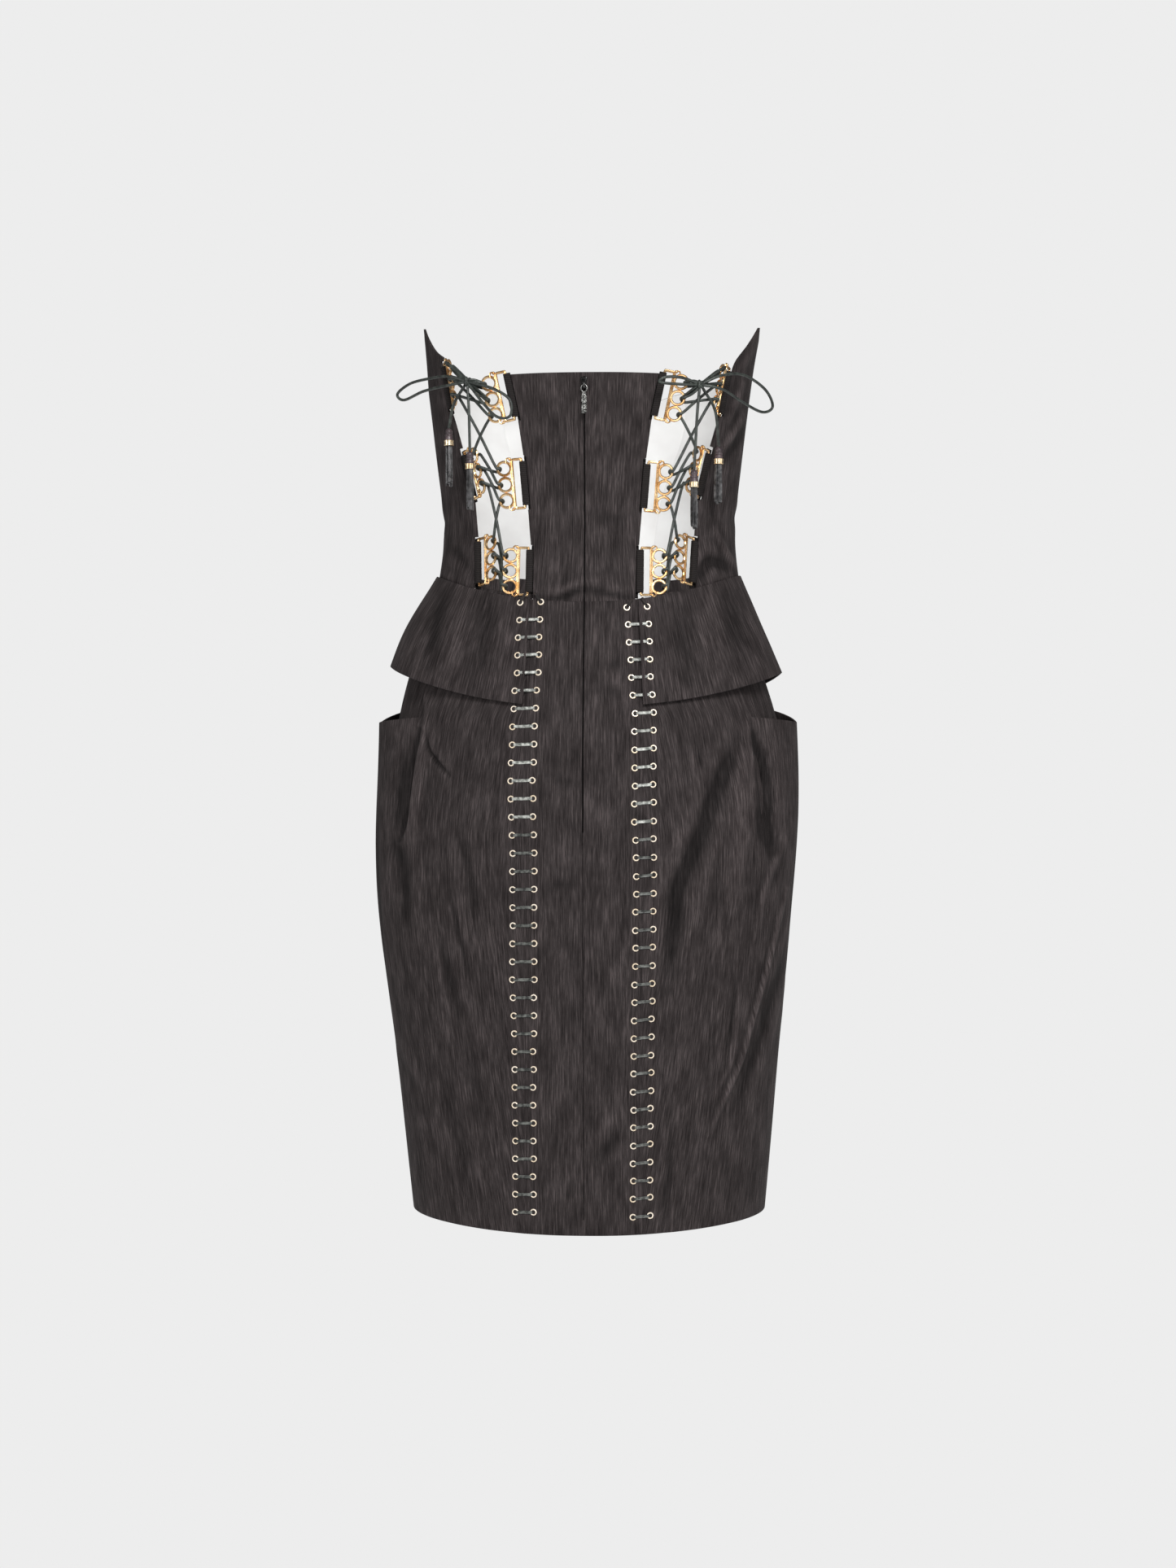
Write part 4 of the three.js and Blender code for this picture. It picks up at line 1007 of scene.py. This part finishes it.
# Radius of the near-black disc that paints the shadow inside each eyelet's hole.
HOLE_SHADOW_RADIUS = 1.85
HOLE_SIDES = 10
UNEVEN = 0.35
eyelet_rows = {"left": (-64.3, -560.8), "right": (-68.4, -563.2)}
eyelet_columns = {
    ("left", "outer"): [(-64, 52.8), (-123, 54.2), (-152, 56.6), (-211, 58.8), (-270, 56.6), (-382, 57.0),
                        (-435, 55.2), (-561, 55.8)],
    ("left", "inner"): [(-64, 36.0), (-123, 37.0), (-152, 38.6), (-211, 40.5), (-270, 39.4), (-382, 39.6),
                        (-435, 40.5), (-561, 41.0)],
    ("right", "inner"): [(-68, 34.9), (-126, 38.9), (-156, 41.7), (-243, 41.8), (-288, 43.1), (-388, 41.7),
                         (-487, 40.3), (-563, 40.2)],
    ("right", "outer"): [(-68, 51.5), (-126, 54.4), (-156, 56.4), (-243, 56.5), (-288, 56.8), (-388, 55.5),
                         (-487, 54.1), (-563, 54.0)],
}
pale_gold = polished_brass("pale_gold_eyelets", "#efdcc0", "#fff3e2", gloss=0.4, metal=0.55)
# Near-black leather for the discs that paint each eyelet hole's shadow. The first laces, which go up under
# the waist seam, are coloured with it too.
hole_shadow_and_first_lace_black = leather("painted_hole_shadow_and_first_laces", "#120d0c", "#241c19", grain=0.9 * MM, gloss=0.8)
# The bars of the top rows are a paler copy of the lace, a painted highlight where the light falls on them;
# the lower rows' bars keep the darker lace.
highlit_bars = leather("calf_lace_bars_painted_highlight", "#5a5d59", "#c6c8c2", grain=0.8 * MM, gloss=0.36)
dark_bars = leather("calf_lace_bars", "#202220", "#6a6c68", grain=0.8 * MM, gloss=0.45)

eyelet = turned(
    "eyelet",
    [(HOLE_RADIUS, -0.7), (HOLE_RADIUS, 0.35), (2.0, 0.62), (2.45, 0.62), (EYELET_RADIUS, 0.2),
     (EYELET_RADIUS, -0.4), (HOLE_RADIUS, -0.7)],
    14,
    pale_gold,
)


def lace_bar(start, end, way_out, sag):
    """The corners of a flat strip that comes out of one eyelet and goes into the other."""
    along = (end - start).normalized()
    across = way_out.cross(along)
    length = (end - start).length / MM
    path = [(0.7, -0.5), (1.2, 0.5), (2.1, 1.15), (length / 3, 0.95 - sag), (length * 2 / 3, 0.95 - sag),
            (length - 2.1, 1.15), (length - 1.2, 0.5), (length - 0.7, -0.5)]
    section = [(-1, 0), (-0.6, 0.9), (0, 0.25), (0.6, 0.9), (1, 0), (0, -0.6)]
    points = []
    for (ahead, up), (side, rise) in product(path, section):
        beside = across * side * BAR_WIDE / 2 + way_out * (up + rise * BAR_THICK / 2)
        points.append(start + (along * ahead + beside) * MM)
    return points, tube_faces(len(path), len(section))


def height_of(side, row):
    """The height of a row of eyelets."""
    top, bottom = eyelet_rows[side]
    return top + (bottom - top) * row / (EYELETS - 1)


def closed_piece(name, points, faces, material):
    """A piece from corners and faces, with its faces turned outwards and smooth shading."""
    piece = mesh_piece(name, points, faces, material)
    pick(piece)
    bpy.ops.object.mode_set(mode="EDIT")
    bpy.ops.mesh.select_all(action="SELECT")
    bpy.ops.mesh.normals_make_consistent(inside=False)
    bpy.ops.object.mode_set(mode="OBJECT")
    bpy.ops.object.shade_smooth_by_angle(angle=math.radians(50))
    return piece


# The left pairs all lean a little one way, and the right pairs unevenly the other way.
chance = random.Random(4)
for side, sign in SIDES.items():
    rings, hole_shadows = [], ([], [])
    bars = {"pale": ([], []), "dark": ([], []), "first": ([], [])}
    for row in range(EYELETS):
        pair = []
        for column, lean in (("outer", -0.6), ("inner", 0.6)):
            heights, widths = zip(*eyelet_columns[side, column][::-1])
            height = height_of(side, row) - (lean * chance.uniform(0.2, 1.4) if sign < 0 else lean * -0.4)
            across = np.interp(height_of(side, row), heights, widths) + chance.uniform(-UNEVEN, UNEVEN)
            place, way_out = on_back(sign * across, height)
            turn = way_out.to_track_quat("Z", "Y").to_matrix().to_4x4()
            rings.append(copy_of(eyelet, "eyelet_copy", Matrix.Translation(place) @ turn))
            pair.append((place, way_out))
            # A near-black disc just above the cloth inside the eyelet: painted shadow of the hole.
            start = len(hole_shadows[0])
            for k in range(HOLE_SIDES):
                spin = 2 * math.pi * k / HOLE_SIDES
                spoke = Vector((math.cos(spin), math.sin(spin), 0)) * HOLE_SHADOW_RADIUS * MM
                hole_shadows[0].append(place + way_out * 0.25 * MM + turn.to_3x3() @ spoke)
            hole_shadows[1].append(tuple(range(start, start + HOLE_SIDES)))
        (outer, out_a), (inner, out_b) = pair
        ends = [(outer, inner, (out_a + out_b).normalized())]
        if row == 0:
            ends = [
                (eye, eye + Vector(((inner - outer).x * turn_in, 0, UNDER_WAIST * MM)), way_out)
                for eye, way_out, turn_in in ((outer, out_a, 0.3), (inner, out_b, -0.3))
            ]
        corners, sides = bars["first" if row == 0 else "pale" if row < HIGHLIT_ROWS else "dark"]
        for start, end, way_out in ends:
            first = len(corners)
            points, faces = lace_bar(start, end, way_out, chance.uniform(0, 0.3))
            corners.extend(points)
            sides.extend(tuple(first + i for i in face) for face in faces)
    piece = join(rings, f"eyelets_{side}")
    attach(piece, "dress")
    for name, (points, faces), material, slot in (
        (f"eyelet_hole_shadows_{side}", hole_shadows, hole_shadow_and_first_lace_black, "cloth"),
        (f"lace_bars_painted_highlight_{side}", bars["pale"], highlit_bars, "lace"),
        (f"lace_bars_{side}", bars["dark"], dark_bars, "lace"),
        (f"first_laces_{side}", bars["first"], hole_shadow_and_first_lace_black, "lace"),
    ):
        piece = closed_piece(name, points, faces, material)
        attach(piece, "dress")
bpy.data.objects.remove(eyelet)


# Cloth loops: a double strip of the dress's cloth, folded round each plate's held wire, pressed
# flat and ribbed by close rows of stitching across it. Its ends are sewn down inside the edge, as
# a seam allowance behind each loop.
def ribbed_cloth(name):
    """The dress's cloth under close rows of stitching."""
    material, tree, shader = new_material(name, Roughness=0.85, Specular_IOR_Level=0.2)
    place = add_node(tree, "ShaderNodeTexCoord", output="Object")
    rows = {
        "Vector": place, "Scale": 0.314 / (1.1 * MM), "Distortion": 0.6, "Detail": 1.0, "Detail Scale": 1.0
    }
    ribs = add_node(tree, "ShaderNodeTexWave", rows, output="Fac", wave_type="BANDS", bands_direction="Z")
    colour = add_node(tree, "ShaderNodeValToRGB", {"Fac": ribs}, stops=[(0.2, "#151212"), (0.75, "#2b2726")])
    relief = add_node(tree, "ShaderNodeBump", {"Height": ribs, "Distance": 0.3 * MM})
    fill(shader, {"Base Color": colour, "Normal": relief})
    return material


loop_cloth = ribbed_cloth("ribbed_loop_cloth")
ALLOWANCE_THICK = 0.5
ALLOWANCE_WIDE = 2.5
PAST_LOOP = 4.4
UNDER_TOP_EDGE = -1.6
PANEL_EDGE = {"inner": -2.3, "outer": -0.3}
allowances = []
for (edge, row, side), (origin, toward, up, out) in plates.items():
    node = f"plate_loop_{edge}_{row}_{side}"
    piece = panel_copy(node, node + "_cloth")
    piece.data.materials.append(loop_cloth)
    pick(piece)
    bpy.ops.object.mode_set(mode="EDIT")
    bpy.ops.mesh.select_all(action="SELECT")
    bpy.ops.mesh.remove_doubles(threshold=0.01 * MM)
    bpy.ops.mesh.dissolve_limited(angle_limit=math.radians(1))
    bpy.ops.object.mode_set(mode="OBJECT")
    round_edges(piece, 0.4, 3, 60)
    bpy.ops.object.shade_smooth_by_angle(angle=math.radians(50))
    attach(piece, "dress")
    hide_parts(node)
    spread = (node_points(node) - np.array(origin)) @ np.array([toward, up, out]).T / MM
    low, high = spread.min(0), spread.max(0)
    from_x, to_x = low[0] - ALLOWANCE_WIDE, PANEL_EDGE[edge]
    from_y, to_y = low[1] - PAST_LOOP, high[1] + (UNDER_TOP_EDGE if row == "top" else PAST_LOOP)
    size = Vector((to_x - from_x, to_y - from_y, ALLOWANCE_THICK)) * MM
    middle = Vector(((from_x + to_x) / 2, (from_y + to_y) / 2, low[2] + 0.5)) * MM
    stand = Matrix.Translation(origin) @ Matrix((toward, up, out)).transposed().to_4x4()
    bpy.ops.object.select_all(action="DESELECT")
    bpy.ops.mesh.primitive_cube_add(size=1)
    under = bpy.context.object
    under.data.transform(stand @ Matrix.Translation(middle) @ Matrix.Diagonal((*size, 1)))
    if stand.determinant() < 0:
        under.data.flip_normals()
    allowances.append(under)
underlay = join(allowances, "loop_seam_allowances")
underlay.data.materials.append(loop_cloth)
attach(underlay, "dress")


# Zip. A black nylon coil runs under the meeting edges of the back, and the seam goes on below it. At
# the top is a small black enamelled slider with a wire eye, and a knurled steel pull on a ring.
def enamel(name, dark, light, metal, gloss, shine=0.5):
    """Enamel or steel that is worn in small spots."""
    material, tree, shader = new_material(name, Metallic=metal, Specular_IOR_Level=shine)
    place = add_node(tree, "ShaderNodeTexCoord", output="Object")
    wear_and_fold_shade = add_node(tree, "ShaderNodeTexNoise", {"Vector": place, "Scale": 1 / (1.2 * MM), "Detail": 3.0})
    tone = add_node(tree, "ShaderNodeValToRGB", {"Fac": wear_and_fold_shade}, stops=[(0.4, dark), (0.65, light)])
    rough = add_node(tree, "ShaderNodeMapRange", {"Value": wear_and_fold_shade, "To Min": gloss, "To Max": gloss + 0.15})
    fill(shader, {"Base Color": tone, "Roughness": rough})
    return material


def block(name, wide, thick, long, cuts):
    """A cuboid with its faces cut into rows and columns, to be shaped corner by corner."""
    bpy.ops.object.select_all(action="DESELECT")
    bpy.ops.mesh.primitive_cube_add(size=1)
    piece = bpy.context.object
    piece.name = name
    piece.scale = (wide * MM, thick * MM, long * MM)
    bpy.ops.object.transform_apply(scale=True)
    bpy.ops.object.mode_set(mode="EDIT")
    bpy.ops.mesh.select_all(action="SELECT")
    bpy.ops.mesh.subdivide(number_cuts=cuts)
    bpy.ops.object.mode_set(mode="OBJECT")
    return piece


black_enamel = enamel("black_zip_enamel", "#0d0d0d", "#1d1c1b", 0.6, 0.12)
steel = enamel("steel_eye_and_ring", "#4a4a49", "#a4a4a1", 1.0, 0.22)
tag_steel = enamel("knurled_steel_tag", "#1b1b1b", "#8f8f8c", 1.0, 0.26)
coil_nylon = enamel("black_zip_coil", "#040303", "#0a0808", 0.0, 0.8, shine=0.08)

ZIP_TOP = 120
ZIP_END = -252
SEAM_END = -566
ZIP_STEPS = 80
for name, top, bottom, thick in (
    ("zip_coil", ZIP_TOP, ZIP_END, 1.6),
    ("centre_seam", ZIP_END, SEAM_END, 0.7),
):
    line = []
    for k in range(ZIP_STEPS + 1):
        place, _ = on_back(0.9, top + (bottom - top) * k / ZIP_STEPS)
        line.append(Vector((0, place.y - 0.2 * thick * MM, place.z)))
    coil = tube_mesh(name, line, thick / 2 * MM, 6, coil_nylon)
    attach(coil, "dress")

SLIDER_MIDDLE = 689 - WAIST
SLIDER_THICK = 2.4
SLIDER_LONG = 10
EYE_RADIUS = 2.7
slider_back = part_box("zip_slider")[0][1]
slider = block("zip_slider_made", 5.6, SLIDER_THICK, SLIDER_LONG, 3)
for vertex in slider.data.vertices:
    up = vertex.co.z / (SLIDER_LONG * MM) + 0.5
    shoulder = max(0.0, (up - 0.45) / 0.55) ** 1.5
    foot = max(0.0, (0.4 - up) / 0.4)
    vertex.co.x *= 0.68 + 0.32 * shoulder + 0.06 * foot
round_edges(slider, 0.6, 3, 50)
slider_centre = (0, slider_back + SLIDER_THICK / 2 * MM, SLIDER_MIDDLE * MM)
slider.data.transform(Matrix.Translation(slider_centre))
slider.data.materials.append(black_enamel)
eye_height = SLIDER_MIDDLE - SLIDER_LONG / 2 + EYE_RADIUS + 0.7
eye_middle = Vector((0, slider_back + 2.2 * MM, eye_height * MM))
arch = []
for k in range(17):
    turn = math.pi * k / 16
    arch.append(eye_middle + Vector((0, math.sin(turn), math.cos(turn))) * EYE_RADIUS * MM)
eye = tube_mesh("eye", arch, 0.5 * MM, 10, steel)
slider = join([slider, eye], "zip_slider_made")
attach(slider, "dress")
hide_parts("zip_slider")

PULL_AXIS = Vector((0, 101.34, 112.4)) * MM
PULL_RING_HALF_LONG = 3.0
PULL_RING_HALF_WIDE = 2.45
TAG_LONG = 17.4
KNURL = 0.34
ring_line = []
for k in range(33):
    turn = 2 * math.pi * k / 32
    down = PULL_RING_HALF_LONG * (math.cos(turn) - 1)
    ring_line.append(PULL_AXIS + Vector((PULL_RING_HALF_WIDE * math.sin(turn), 0, down)) * MM)
pull_ring = tube_mesh("pull_ring", ring_line, 0.55 * MM, 10, steel)
tag = block("tag", 3.9, 1.2, TAG_LONG, 23)
for vertex in tag.data.vertices:
    down = 0.5 - vertex.co.z / (TAG_LONG * MM)
    vertex.co.x *= 0.55 + 0.45 * min(1.0, down * 5)
    rising = math.sin((vertex.co.x + vertex.co.z * 0.9) / (0.42 * MM))
    falling = math.sin((vertex.co.x * 1.4 - vertex.co.z) / (0.62 * MM))
    if abs(vertex.co.y) > 0.5 * MM and 0.1 < down < 0.97:
        vertex.co.y += math.copysign(KNURL * MM * rising * falling, vertex.co.y)
below_ring = Vector((0, 0, -2 * PULL_RING_HALF_LONG - TAG_LONG / 2)) * MM
tag.data.transform(Matrix.Translation(PULL_AXIS + below_ring))
tag.data.materials.append(tag_steel)
pull = join([pull_ring, tag], "zip_pull_made", smooth=60)
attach(pull, "zip_pull")
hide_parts("zip_pull")


# Studio: a pale floor and backdrop, which the camera sees evenly lit, in a room that is darker than
# they are, so that the metal has contrast. The key is a large softbox above the camera, with a
# strip on either side and a narrow one in front, and a small lamp inside the bodice lights the lining.
world = bpy.data.worlds.new("studio")
bpy.context.scene.world = world
world.use_nodes = True
room = world.node_tree
seen = add_node(room, "ShaderNodeLightPath", output="Is Camera Ray")
level = add_node(room, "ShaderNodeMapRange", {"Value": seen, "To Min": 0.25, "To Max": 1.0})
fill(room.nodes["Background"], {"Color": linear("#ededed"), "Strength": level})


def soft_light(name, place, aim, size, power):
    """A rectangular lamp that faces a place. Places and sizes are in metres."""
    data = bpy.data.lights.new(name, "AREA")
    data.shape = "RECTANGLE"
    data.size, data.size_y = size
    data.energy = power
    lamp = in_scene(name, data)
    lamp.location = place
    lamp.rotation_euler = (Vector(place) - Vector(aim)).to_track_quat("Z", "Y").to_euler()
    lamp.visible_camera = False


middle = (0, 0, -0.2)
soft_light("key", (-0.7, 2.4, 1.4), middle, (1.0, 1.0), 73)
soft_light("strip_left", (2.0, 1.5, 0.1), middle, (0.5, 1.8), 19)
soft_light("strip_right", (-2.1, 1.1, 0.1), middle, (0.5, 1.8), 12)
soft_light("front", (-0.3, 2.4, -0.1), middle, (0.3, 1.4), 5)
soft_light("lining", (0, 0.05, -0.02), (0, -0.1, 0.0), (0.07, 0.14), 0.22)

FLOOR_HEIGHT = -1050 * MM
bpy.ops.object.select_all(action="DESELECT")
bpy.ops.mesh.primitive_circle_add(vertices=64, radius=3, fill_type="NGON", location=(0, 0, FLOOR_HEIGHT))
bpy.ops.object.transform_apply(location=True)
floor = bpy.context.object
floor.name = "floor"
floor_finish, _, floor_shader = new_material("lit_backdrop", Roughness=1.0, Specular_IOR_Level=0.0)
black = (0, 0, 0, 1)
fill(floor_shader, {"Base Color": black, "Emission Color": linear("#ededed"), "Emission Strength": 1.0})
floor.data.materials.append(floor_finish)
